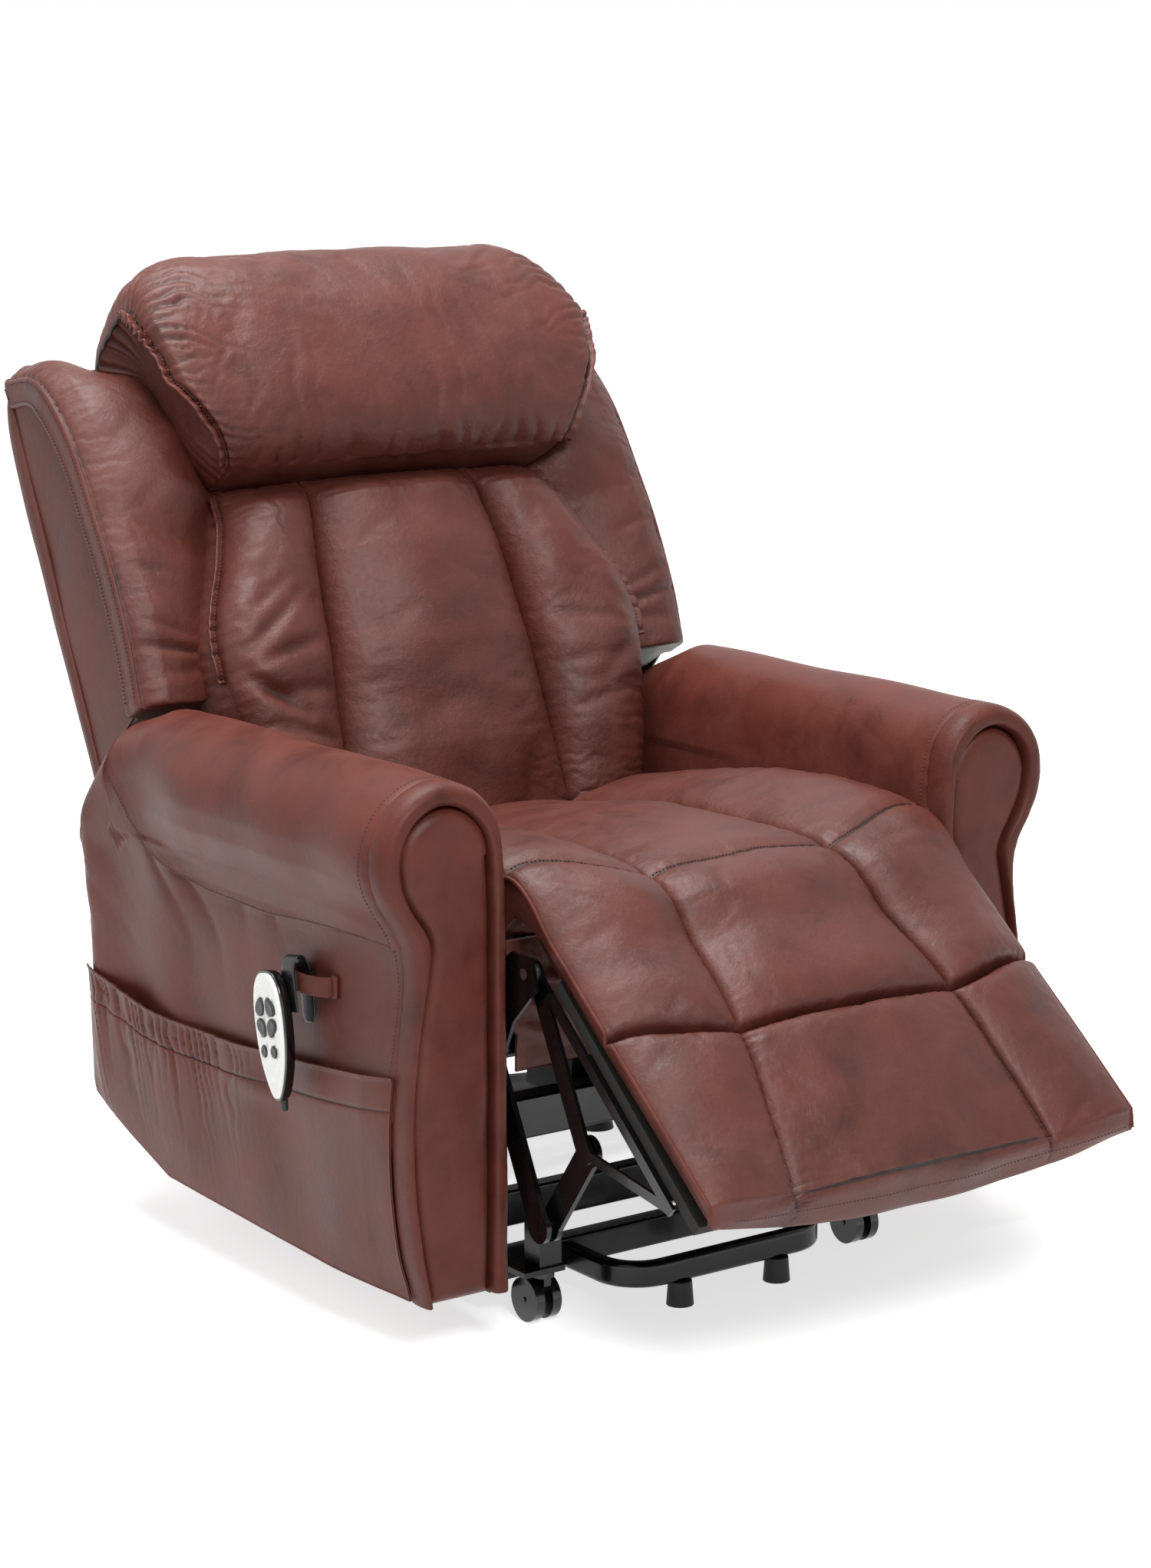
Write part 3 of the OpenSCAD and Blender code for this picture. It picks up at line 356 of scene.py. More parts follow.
# lift lightens the colour, painted light that stands in for the gloss a copy gives up; level is the
# gloss facing the eye, relief scales the creases in the grain
def leather(name, lift=1.0, level=0.34, relief=1.0):
    material, tree, shader, place = newMaterial(name, {
        "Roughness": hide["rough"], "IOR": 1.48, "Specular IOR Level": level,
        "Coat Weight": level * 0.2, "Coat Roughness": 0.34})
    cloud = addNode(tree, "ShaderNodeTexNoise",
                    {"Scale": 17.0, "Detail": 5.0, "Roughness": 0.6, "Distortion": 0.4},
                    {"Vector": place}).outputs["Fac"]
    patch = addNode(tree, "ShaderNodeTexNoise",
                    {"Scale": 9.0, "Detail": 4.0, "Roughness": 0.6, "Distortion": 0.5},
                    {"Vector": place}).outputs["Fac"]
    body = ramp(tree, cloud,
                [(0.26, colour(hide["dark"])), (0.48, colour(hide["mid"])),
                 (0.74, colour(hide["pale"]))])
    rubbed = ramp(tree, patch, [(0.44, 0.0), (0.70, 0.70)])
    base = addNode(tree, "ShaderNodeMix", {"data_type": "RGBA", 7: colour(hide["warm"])},
                   {0: rubbed, 6: body})
    # painted shade darkens the folds and a painted highlight pales the ridges: relief is -1 in a
    # hollow, 0 on the flat and 1 on a ridge
    folded = addNode(tree, "ShaderNodeAttribute", {"attribute_name": "relief"}).outputs["Fac"]
    value = addNode(tree, "ShaderNodeMapRange",
                    {"From Min": -1.0, "From Max": 1.0, "To Min": 0.10 * lift, "To Max": 1.90 * lift},
                    {"Value": folded}).outputs[0]
    shade = addNode(tree, "ShaderNodeHueSaturation", {"Saturation": 1.05},
                    {"Color": base.outputs[2], "Value": value})
    tree.links.new(shade.outputs["Color"], shader.inputs["Base Color"])
    gloss = ramp(tree, cloud, [(0.3, hide["rough"] - 0.04), (0.7, hide["rough"] + 0.07)])
    tree.links.new(gloss, shader.inputs["Roughness"])
    # pebble grain of full-grain hide, 1.4 mm cells drawn a little coarse so that it shows, over
    # shallow stretch lines
    pebble = addNode(tree, "ShaderNodeTexVoronoi",
                     {"feature": "SMOOTH_F1", "Scale": 1 / hide["grain"] * 0.5, "Smoothness": 0.6},
                     {"Vector": place}).outputs["Distance"]
    lines = addNode(tree, "ShaderNodeTexNoise",
                    {"Scale": 130.0, "Detail": 6.0, "Roughness": 0.68, "Distortion": 0.7},
                    {"Vector": place}).outputs["Fac"]
    soft = addNode(tree, "ShaderNodeTexNoise",
                   {"Scale": 26.0, "Detail": 3.0, "Roughness": 0.5, "Distortion": 0.8},
                   {"Vector": place}).outputs["Fac"]
    fine = addNode(tree, "ShaderNodeBump", {"Strength": 0.16, "Distance": 0.0006}, {"Height": pebble})
    bump = addNode(tree, "ShaderNodeBump", {"Strength": 0.38 * relief, "Distance": 0.0024},
                   {"Height": lines, "Normal": fine.outputs["Normal"]})
    roll = addNode(tree, "ShaderNodeBump", {"Strength": 0.22 * relief, "Distance": 0.0060},
                   {"Height": soft, "Normal": bump.outputs["Normal"]})
    tree.links.new(roll.outputs["Normal"], shader.inputs["Normal"])
    return material


# painted, moulded or plated: faint drift in colour and gloss
def plain(name, hexText, settings, scale, bumpSize, spread=0.04, darker=0.82):
    material, tree, shader, place = newMaterial(name, settings)
    cloud = addNode(tree, "ShaderNodeTexNoise", {"Scale": scale, "Detail": 4.0},
                    {"Vector": place}).outputs["Fac"]
    base = np.array(colour(hexText))
    low = tuple(np.r_[base[:3] * darker, 1].tolist())
    tree.links.new(ramp(tree, cloud, [(0.35, low), (0.65, tuple(base.tolist()))]),
                   shader.inputs["Base Color"])
    rough = settings.get("Roughness", 0.5)
    tree.links.new(ramp(tree, cloud, [(0.3, max(rough - spread, 0.02)), (0.7, rough + spread)]),
                   shader.inputs["Roughness"])
    grain = addNode(tree, "ShaderNodeTexNoise", {"Scale": scale * 14, "Detail": 3.0},
                    {"Vector": place}).outputs["Fac"]
    bump = addNode(tree, "ShaderNodeBump", {"Strength": 0.25, "Distance": bumpSize}, {"Height": grain})
    tree.links.new(bump.outputs["Normal"], shader.inputs["Normal"])
    return material


def timber(name):  # sawn beech: long grain lines with a dry, open face
    material, tree, shader, place = newMaterial(name, {"Roughness": 0.62, "IOR": 1.5})
    stretch = addNode(tree, "ShaderNodeMapping", {"Scale": (9.0, 160.0, 160.0)},
                      {"Vector": place}).outputs["Vector"]
    rings = addNode(tree, "ShaderNodeTexNoise", {"Scale": 1.0, "Detail": 5.0, "Distortion": 0.7},
                    {"Vector": stretch}).outputs["Fac"]
    tree.links.new(ramp(tree, rings, [(0.3, colour("#8a5f39")), (0.7, colour("#c79a67"))]),
                   shader.inputs["Base Color"])
    bump = addNode(tree, "ShaderNodeBump", {"Strength": 0.3, "Distance": 0.0004}, {"Height": rings})
    tree.links.new(bump.outputs["Normal"], shader.inputs["Normal"])
    return material


hideMain = leather("Pull-up leather")
# drawn flat over the arms and the sides of the back, so duller; its colour is painted 14 % lighter,
# painted light in place of the gloss it gives up
hideSide = leather("Pull-up leather, stretched, painted lighter", 1.14, 0.22, 0.45)
# border roll: duller, and its colour painted 4 % lighter in place of the gloss it gives up
hideBorder = leather("Border leather", 1.04, 0.20, 0.7)
# twisted thread: dull, a shade under the hide
thread = plain("Bonded nylon thread", "#3c1b17", {"Roughness": 0.55}, 400, 0.0001)
# baked powder: deep black with a clear, slightly rippled gloss
blackSteel = plain("Gloss black powder coat", "#060607",
                   {"Roughness": 0.26, "Specular IOR Level": 0.35, "Coat Weight": 0.2,
                    "Coat Roughness": 0.1}, 40, 0.0003)
# bright zinc: pale grey metal, softly blurred
zincSteel = plain("Zinc plated steel", "#a9abae", {"Roughness": 0.3, "Metallic": 1.0}, 90, 0.0001)
# hard chrome: mirror bright
chrome = plain("Chromed rod", "#cfd1d4", {"Roughness": 0.08, "Metallic": 1.0}, 60, 0.00002, 0.02)
# spark eroded mould: fine matt grain that spreads the light
motorShell = plain("Moulded ABS, spark eroded", "#1b1b1d", {"Roughness": 0.52}, 120, 0.0003)
# drawn wire: dark grey metal with a dull sheen
springWire = plain("Oil tempered wire", "#55565a", {"Roughness": 0.35, "Metallic": 1.0}, 80, 0.0001)
rubber = plain("Moulded rubber", "#121213", {"Roughness": 0.6}, 90, 0.0003)  # flat black, no shine
# glass filled nylon: smooth black with a broad shine
nylon = plain("Glass filled nylon", "#111113",
              {"Roughness": 0.24, "Coat Weight": 0.3, "Coat Roughness": 0.1}, 70, 0.0002)
# polished mould: piano black
shellBlack = plain("Gloss black ABS", "#0c0c0e",
                   {"Roughness": 0.12, "Coat Weight": 0.5, "Coat Roughness": 0.05}, 60, 0.00005, 0.02)
# satin mould: off white with a soft shine
faceWhite = plain("Satin white ABS", "#f1f1ee",
                  {"Roughness": 0.26, "Coat Weight": 0.2, "Coat Roughness": 0.15}, 60, 0.00008, 0.03,
                  0.96)
# silicone: soft black, hardly shiny
keyBlack = plain("Silicone key", "#101012", {"Roughness": 0.38}, 120, 0.0001)
# spring nylon: dark grey, half matt
clipBlack = plain("Sprung black nylon", "#161618", {"Roughness": 0.3}, 90, 0.0001)
beech = timber("Sawn beech")  # open straight grain, dry
# non-woven cloth: black, no shine
dustCloth = plain("Black dust cloth over plywood", "#17130f", {"Roughness": 0.85}, 160, 0.0004)

finishOf = {"leather": hideMain, "leather_border": hideBorder, "frame_steel": blackSteel,
            "pin_steel": zincSteel, "rod_chrome": chrome, "motor_plastic": motorShell, "wood": beech,
            "spring_wire": springWire, "rubber": rubber, "caster_plastic": nylon,
            "handset_black": shellBlack, "handset_white": faceWhite, "button_black": keyBlack,
            "clip_plastic": clipBlack}
for part in frame["record"]["subparts"]:
    node = nodes[part["node"]]
    node.data.materials.clear()
    node.data.materials.append(dustCloth if part["node"] == "leg_board"
                               else finishOf[part["material_slot"]])
print("materials made")


# cloth pass: covers settle between their seams
clothPieces = []


# queue a piece for the cloth pass; loose is 0 where it is sewn down
def settle(obj, loose, pressure=3.0, shrink=-0.02, cap=0.012, stiff=15.0):
    clothPieces.append((obj, clamp(loose), pressure, shrink, cap, stiff))


# each cover filled, grown a little and let go between its seams; its move is held to its cap
def runCloth(frames=14):
    if not clothPieces:
        return
    for obj, loose, pressure, shrink, cap, stiff in clothPieces:
        group = obj.vertex_groups.new(name="sewn")
        pinned = 1 - loose
        for level in np.linspace(0, 1, 11):
            pick = np.where(np.abs(pinned - level) <= 0.05)[0]
            if len(pick):
                group.add(pick.tolist(), float(level), "REPLACE")
        cloth = obj.modifiers.new("Cloth", "CLOTH")
        s = cloth.settings
        s.quality = 4
        s.mass = 0.25
        s.tension_stiffness = s.compression_stiffness = stiff
        s.shear_stiffness = stiff * 0.5
        s.bending_stiffness = 0.6
        s.tension_damping = s.compression_damping = 8
        s.air_damping = 4
        s.use_pressure = True
        s.uniform_pressure_force = pressure
        s.vertex_group_mass = "sewn"
        s.pin_stiffness = 1.0
        s.shrink_min = shrink
        s.effector_weights.gravity = 0
        cloth.collision_settings.use_collision = False
        cloth.collision_settings.use_self_collision = False
        cloth.point_cache.frame_start, cloth.point_cache.frame_end = 1, frames
    scene = bpy.context.scene
    scene.frame_start, scene.frame_end = 1, frames
    for f in range(1, frames + 1):
        scene.frame_set(f)
    graph = bpy.context.evaluated_depsgraph_get()
    results = []
    for obj, *_ in clothPieces:
        mesh = obj.evaluated_get(graph).to_mesh()
        co = np.empty(len(mesh.vertices) * 3)
        mesh.vertices.foreach_get("co", co)
        results.append(co.reshape(-1, 3).copy())
        obj.evaluated_get(graph).to_mesh_clear()
    for (obj, *_, cap, _), co in zip(clothPieces, results):
        obj.modifiers.clear()
        rest = np.empty(len(obj.data.vertices) * 3)
        obj.data.vertices.foreach_get("co", rest)
        rest = rest.reshape(-1, 3)
        move = co - rest
        far = np.linalg.norm(move, axis=1, keepdims=True)
        move = 0.6 * move * np.minimum(1, cap / np.maximum(far, 1e-9)) * np.isfinite(far)
        obj.data.vertices.foreach_set("co", (rest + np.nan_to_num(move)).ravel())
        obj.data.update()
        obj.vertex_groups.clear()
        print("cloth", obj.name, "moved up to %.1f mm" % (float(np.nanmax(far)) * 1000))
    scene.frame_set(1)


# camera
camera = {"place": (-2.3120, -2.9713, 1.3162), "yaw": 35.314, "down": 11.308, "roll": -0.411, "lens": 83.75}


def addCamera(c):  # looks along yaw from the y axis and down, then rolls
    yaw, pitch, roll = (math.radians(c[k]) for k in ("yaw", "down", "roll"))
    ahead = Vector((math.sin(yaw) * math.cos(pitch), math.cos(yaw) * math.cos(pitch), -math.sin(pitch)))
    right = Vector((math.cos(yaw), -math.sin(yaw), 0))
    up = right.cross(ahead)
    r = right * math.cos(roll) + up * math.sin(roll)
    u = up * math.cos(roll) - right * math.sin(roll)
    turn = Matrix((r, u, -ahead)).transposed().to_4x4()
    data = bpy.data.cameras.new("View")
    data.sensor_width = data.sensor_height = 36
    data.sensor_fit = "AUTO"
    data.lens = c["lens"]
    obj = bpy.data.objects.new("View", data)
    obj.matrix_world = Matrix.Translation((c["place"][0], c["place"][1] + armFront, c["place"][2])) @ turn
    bpy.context.scene.collection.objects.link(obj)
    bpy.context.scene.camera = obj


addCamera(camera)

# seat and leg rest in one piece of leather
# stations: 0 rear of the seat, 1 seam at the seat's front, 2 crease, 3 nose, 3.6 lower edge
# side and inside: how far the underside lies below the top at the outer edge and within it
# pulls: start, end, width and depth of each tight crease
chaise = {"half": 0.277,
          "valley": ((0, 0.108), (0.5, 0.116), (1, 0.120), (1.5, 0.127), (2, 0.140), (2.5, 0.154),
                     (3, 0.168), (3.6, 0.168)),
          "valleyPath": ((0.455, 0.452), (0.23, 0.474), (-0.005, 0.477), (-0.094, 0.4175),
                         (-0.183, 0.357), (-0.250, 0.289), (-0.309, 0.222)),
          "edgePath": ((0.455, 0.466), (0.23, 0.494), (0.027, 0.499), (-0.063, 0.434), (-0.152, 0.363),
                       (-0.236, 0.297), (-0.314, 0.234)),
          "crown": ((0, 0.012, 0.014), (0.5, 0.026, 0.030), (1, 0.018, 0.019), (1.2, 0.025, 0.025),
                    (1.8, 0.028, 0.026), (2, 0.026, 0.023), (2.3, 0.020, 0.019), (2.8, 0.015, 0.014),
                    (3, 0.010, 0.010)),
          "side": ((0, 0.100), (0.85, 0.105), (1.12, 0.040), (1.4, 0.016), (3, 0.013), (3.6, 0.003)),
          "inside": ((0, 0.100), (0.85, 0.100), (1.2, 0.034), (2, 0.029), (3, 0.026), (3.6, 0.002)),
          "pulls": (((-0.255, 0.245), (-0.17, 0.275), 0.006, -0.0022),
                    ((-0.25, 0.265), (-0.19, 0.300), 0.005, -0.0018),
                    ((0.15, 0.245), (0.245, 0.262), 0.008, -0.0022),
                    ((0.16, 0.262), (0.25, 0.285), 0.007, -0.0018),
                    ((-0.13, 0.50), (-0.09, 0.56), 0.007, -0.0018),
                    ((-0.14, 0.56), (-0.085, 0.60), 0.006, -0.0022),
                    ((-0.16, 0.58), (-0.20, 0.62), 0.006, -0.0018),
                    ((0.17, 0.46), (0.21, 0.58), 0.010, -0.002))}


# top line of the leg rest's side view at station t for a given x: valley line inside, edge line
# outside
def chaiseSide(t, x):
    keys = np.array([0, 0.5, 1, 1.5, 2, 2.5, 3])
    tt = np.clip(t, 0, 3)
    at = np.interp(tt, keys, np.arange(7))
    v = curveThrough(chaise["valleyPath"], at=at)
    e = curveThrough(chaise["edgePath"], at=at)
    valley = follow(chaise["valley"], t)
    m = ease((np.abs(x) - valley) / (chaise["half"] - valley))[..., None]
    side = v * (1 - m) + e * m
    # past the nose the leather hangs: hem line and lower edge sag towards the middle
    k = clamp(np.abs(x) / chaise["half"])
    hang = clamp((t - 3) / 0.6)
    lowA, lowU = 0.358 - 0.007 * k ** 2, -0.008 - 0.038 * k ** 2
    s, z = legSide(lowA, lowU)
    low = np.stack([s, z], -1)
    s, z = legSide(0.352 - 0.004 * k ** 2, np.full_like(k, -0.050))
    knee = np.stack([s, z], -1)
    h = hang[..., None]
    turned = side * (1 - h) ** 2 + 2 * knee * h * (1 - h) + low * h ** 2
    return np.where(hang[..., None] > 0, turned, side)


# rows across from edge to edge, columns down the seat and leg rest; each channel rises from its
# seams as part of an oval
def addChaise():
    c = chaise
    q = packed([-3, -1, 1, 3], [36, 52, 36])
    t = packed([0, 1, 2, 3], [50, 58, 56])
    t = np.concatenate([t, 3 + np.linspace(0, 0.6, 19)[1:]])
    qs, ts = np.meshgrid(q, t, indexing="ij")
    valley = follow(c["valley"], ts)
    xs = np.where(np.abs(qs) <= 1, qs * valley,
                  np.sign(qs) * (valley + (np.abs(qs) - 1) / 2 * (c["half"] - valley)))
    base = chaiseSide(ts, xs)
    local = np.where(np.abs(qs) <= 1, np.abs(qs), np.abs(np.abs(qs) - 2))  # 0 mid channel, 1 at its seams
    across = (1 - local ** 2.5) ** 0.50
    outerEdge = np.abs(qs) >= 2
    across = np.where(outerEdge, (1 - local ** 2.2) ** 0.62, across)
    keys = np.array(c["crown"])
    mid = np.interp(ts, keys[:, 0], keys[:, 1])
    out = np.interp(ts, keys[:, 0], keys[:, 2])
    crown = np.where(np.abs(qs) <= 1, mid, out)
    # the crease swallows the calf panel's end and the foot panel's start; the seat seam only dips
    calf = clamp(ts - 1)
    foot = clamp(ts - 2)
    fall = np.where(ts < 2, (1 - calf ** 16) ** 0.5, (1 - (1 - foot) ** 20) ** 0.5)
    fall = np.where(ts <= 1, 1, fall)
    dip = bell(ts, 1, 0.035)
    height = (crown * across * fall - 0.0030 * dip - 0.009 * bell(ts, 2, 0.022)
              - 0.0025 * bell(1, local, 0.035) * (np.abs(qs) < 2))
    height = height * np.where(ts > 3, 1 - clamp((ts - 3) / 0.6) ** 0.6, 1)
    # soft rolling surface, then gathers at the sewn channels, at the crease and at the seat seam
    arc = ts * 0.22
    height = height + 0.0016 * waves(xs, arc, 0.11, 21) * across
    away = (1 - local) * 0.11
    sewn = np.where(ts > 2, 1.0, 0.55) * clamp((ts - 0.4) * 2)
    left = np.where(qs < 0, 1.0, 0.45)
    height = height + 0.0034 * sewn * left * gather(arc, away, 0.011, 0.020, 31) * (np.abs(qs) < 2)
    toCrease = np.abs(ts - 2) * 0.19
    height = (height + 0.0026 * gather(xs, toCrease, 0.010, 0.024, 41) * (ts < 2)
              + 0.0014 * gather(xs, toCrease, 0.013, 0.018, 42) * (ts >= 2))
    height = (height + 0.0012 * gather(xs, np.abs(ts - 1) * 0.25, 0.014, 0.03, 43)
              - 0.0022 * bell((ts - 1) * 0.25, 0, 0.0022))
    height = height + sum(crease(xs, arc, a, b, wd) * d for a, b, wd, d in c["pulls"])
    step = np.gradient(base, axis=1)
    nrm = unit(np.stack([step[..., 1], -step[..., 0]], -1))  # square to the side line, upwards
    ss = base[..., 0] + nrm[..., 0] * height
    zs = base[..., 1] + nrm[..., 1] * height
    # side edge tucks in a little below the piping
    top = onChair(xs, ss, zs)
    tuck = clamp(np.abs(qs) - 2)
    depth = np.where(np.abs(qs) > 2.9, follow(c["side"], ts), follow(c["inside"], ts))
    low = onChair(xs * 0.985, base[..., 0] - nrm[..., 0] * depth, base[..., 1] - nrm[..., 1] * depth)
    rings = np.concatenate([top, low[:, ::-1]], axis=1)
    rows, cols = rings.shape[:2]
    half = cols // 2
    verts = rings.reshape(-1, 3)
    body = gridQuads(rows, cols, wrapCols=True)
    k = np.arange(half - 1)
    capA = np.stack([k, cols - 1 - k, cols - 2 - k, k + 1], -1)
    capB = ((rows - 1) * cols + capA)[:, ::-1]
    # rings wrap from the lower sheet's rear to the top's rear, so the end caps zip top to bottom
    obj = addMesh("chaisePad", verts, np.concatenate([body, capA[:, ::-1], capB[:, ::-1]]), hideMain)
    loose = across * clamp(fall) * (1 - dip) * clamp(1 - (ts - 2.9) / 0.3)
    loose = np.where(tuck > 0.9, loose * 0.3, loose)
    both = np.concatenate([loose, np.zeros_like(loose)], axis=1).ravel()
    settle(obj, both ** 0.5, pressure=0.9, shrink=-0.012, cap=0.003)
    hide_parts("seat_cushion", "calf_pad", "foot_pad")
    return obj, q, t, rings.shape


chaisePad, chaiseQ, chaiseT, chaiseShape = addChaise()
print("seat and leg rest made")

# head pillow
pillow = {"half": ((0.52, 0.228), (0.56, 0.250), (0.62, 0.288), (0.70, 0.303), (0.745, 0.299),
                   (0.80, 0.288)), "end": 0.268,
          "seam": ((0, 1.0), (0.06, 0.93), (0.10, 0.80), (0.16, 0.72), (0.22, 0.62), (0.27, 0.58),
                   (0.34, 0.60), (0.50, 0.80), (0.60, 0.92), (0.70, 1.0)),
          "profile": ((-0.108, 0.531), (-0.140, 0.560), (-0.152, 0.605), (-0.149, 0.665),
                      (-0.136, 0.722), (-0.110, 0.770), (-0.074, 0.797), (-0.030, 0.797),
                      (0.010, 0.775), (0.040, 0.735), (0.055, 0.680), (0.057, 0.600), (0.052, 0.545),
                      (0.025, 0.526), (-0.05, 0.522))}


# the side profile carried across; it shrinks a little to each end seam, and a stuffed gusset closes
# the end as half an oval
def addPillow():
    p = pillow
    ring = evenly(np.concatenate([curveThrough(p["profile"], 400, closed=True),
                                  curveThrough(p["profile"], 400, closed=True)[:1]]), 261)[:-1]
    vs, ws = ring[:, 0], ring[:, 1]
    mid = np.array([-0.045, 0.662])
    # distance round the profile from the lower front seam
    arc = np.linspace(0, 1, len(vs), endpoint=False)[None] * 0.70
    panel = np.linspace(0.03, 1, 22)[:-1]
    q = np.concatenate([panel - 2, packed([-1, 1], [150]), 2 - panel[::-1]])
    qs = q[:, None]
    ending = clamp(np.abs(qs) - 1)
    bulge = np.sin(ending * np.pi / 2)
    halfAt = follow(p["half"], ws)[None]
    xs = np.sign(qs) * (np.minimum(np.abs(qs), 1) * halfAt * (1 - bulge ** 2)
                        + p["end"] * bulge ** 2 * (np.abs(qs) > 1))
    xs = np.where(np.abs(qs) <= 1, qs * halfAt, xs)
    t = clamp(np.abs(qs))
    small = follow(p["seam"], arc)
    keep = small + (1 - small) * (1 - t ** 8) ** 0.5
    keep = np.where(np.abs(qs) > 1, small * np.cos(ending * np.pi / 2) ** 0.62, keep)
    reachX = halfAt * (1 - t)
    facing = clamp(1 - np.abs(arc - 0.16) / 0.22) ** 0.5
    high = bell(arc, 0.225, 0.075)
    left = np.where(qs < 0, 1.0, 0.55)
    pleat = left * (gather(arc, reachX, 0.013, 0.030, 51) * 0.0055 * facing
                    + gather(arc + 0.25 * reachX, reachX, 0.019, 0.080, 52) * 0.0165 * high)
    hem = (gather(xs, clamp(arc - 0.012), 0.034, 0.050, 53) * 0.0052 * (arc < 0.30)
           * (0.4 + 0.6 * bell(xs + 0.05, 0, 0.12)))
    puff = 0.0036 * waves(xs, arc, 0.17, 54)
    bunch = (0.0060 * gather(arc, 0.012 + 0.03 * ending, 0.024, 0.05, 56)
             * np.sin(np.pi * clamp(ending)) ** 0.5)
    swell = np.where(np.abs(qs) <= 1, pleat + hem + puff * facing, pleat * 0.5 + bunch)
    seam = -0.006 * bell(np.abs(qs), 1, 0.014)
    dv, dw = vs - mid[0], ws - mid[1]
    k = keep + (swell + seam) / np.hypot(dv, dw)
    bow = 0.006 * (1 - (xs / 0.3) ** 2) * bell(ws, 0.79, 0.05)
    rings = onBack(xs, mid[0] + dv * k, mid[1] + dw * k + bow)
    obj = addTube("headPillow", rings, hideMain, "back")
    loose = (np.abs(qs) < 1) * (1 - t ** 8) * np.ones_like(arc) * clamp(1.4 * facing)
    settle(obj, np.r_[loose.ravel(), 0, 0], pressure=0.9, shrink=-0.010, cap=0.003)
    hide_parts("head_pillow")
    return obj, q, rings


headPillow, pillowQ, pillowRings = addPillow()
print("head pillow made")

# lumbar cushion; folds: start, end, width and depth, repeated weaker on the other side
lumbar = {"foot": 0.10, "top": 0.522, "rear": 0.050,
          "outline": ((0.100, 0.255), (0.16, 0.268), (0.22, 0.276), (0.289, 0.286), (0.33, 0.287),
                      (0.37, 0.277), (0.42, 0.253), (0.475, 0.232), (0.522, 0.220)),
          "valley": ((0.10, 0.150), (0.28, 0.140), (0.42, 0.128), (0.50, 0.116)),
          "valleyDepth": ((0.10, -0.046), (0.30, -0.060), (0.44, -0.066), (0.50, -0.066),
                          (0.522, -0.056)),
          "edgeDepth": ((0.10, -0.046), (0.20, -0.070), (0.289, -0.080), (0.37, -0.078),
                        (0.475, -0.062), (0.522, -0.04)),
          "crown": ((0.10, 0.030), (0.18, 0.048), (0.30, 0.060), (0.42, 0.056), (0.49, 0.044),
                    (0.512, 0.026), (0.522, 0.006)),
          "folds": (((-0.276, 0.306), (-0.186, 0.372), 0.009, -0.0070),
                    ((-0.262, 0.350), (-0.200, 0.392), 0.008, -0.0035),
                    ((-0.268, 0.296), (-0.170, 0.318), 0.009, -0.0060),
                    ((-0.282, 0.292), (-0.205, 0.236), 0.010, -0.0100),
                    ((-0.250, 0.262), (-0.165, 0.262), 0.009, -0.0045),
                    ((-0.255, 0.225), (-0.17, 0.205), 0.008, -0.0040),
                    ((-0.225, 0.395), (-0.19, 0.45), 0.010, -0.0025),
                    ((-0.10, 0.20), (0.02, 0.24), 0.016, -0.002),
                    ((-0.06, 0.26), (0.05, 0.29), 0.016, -0.0016))}


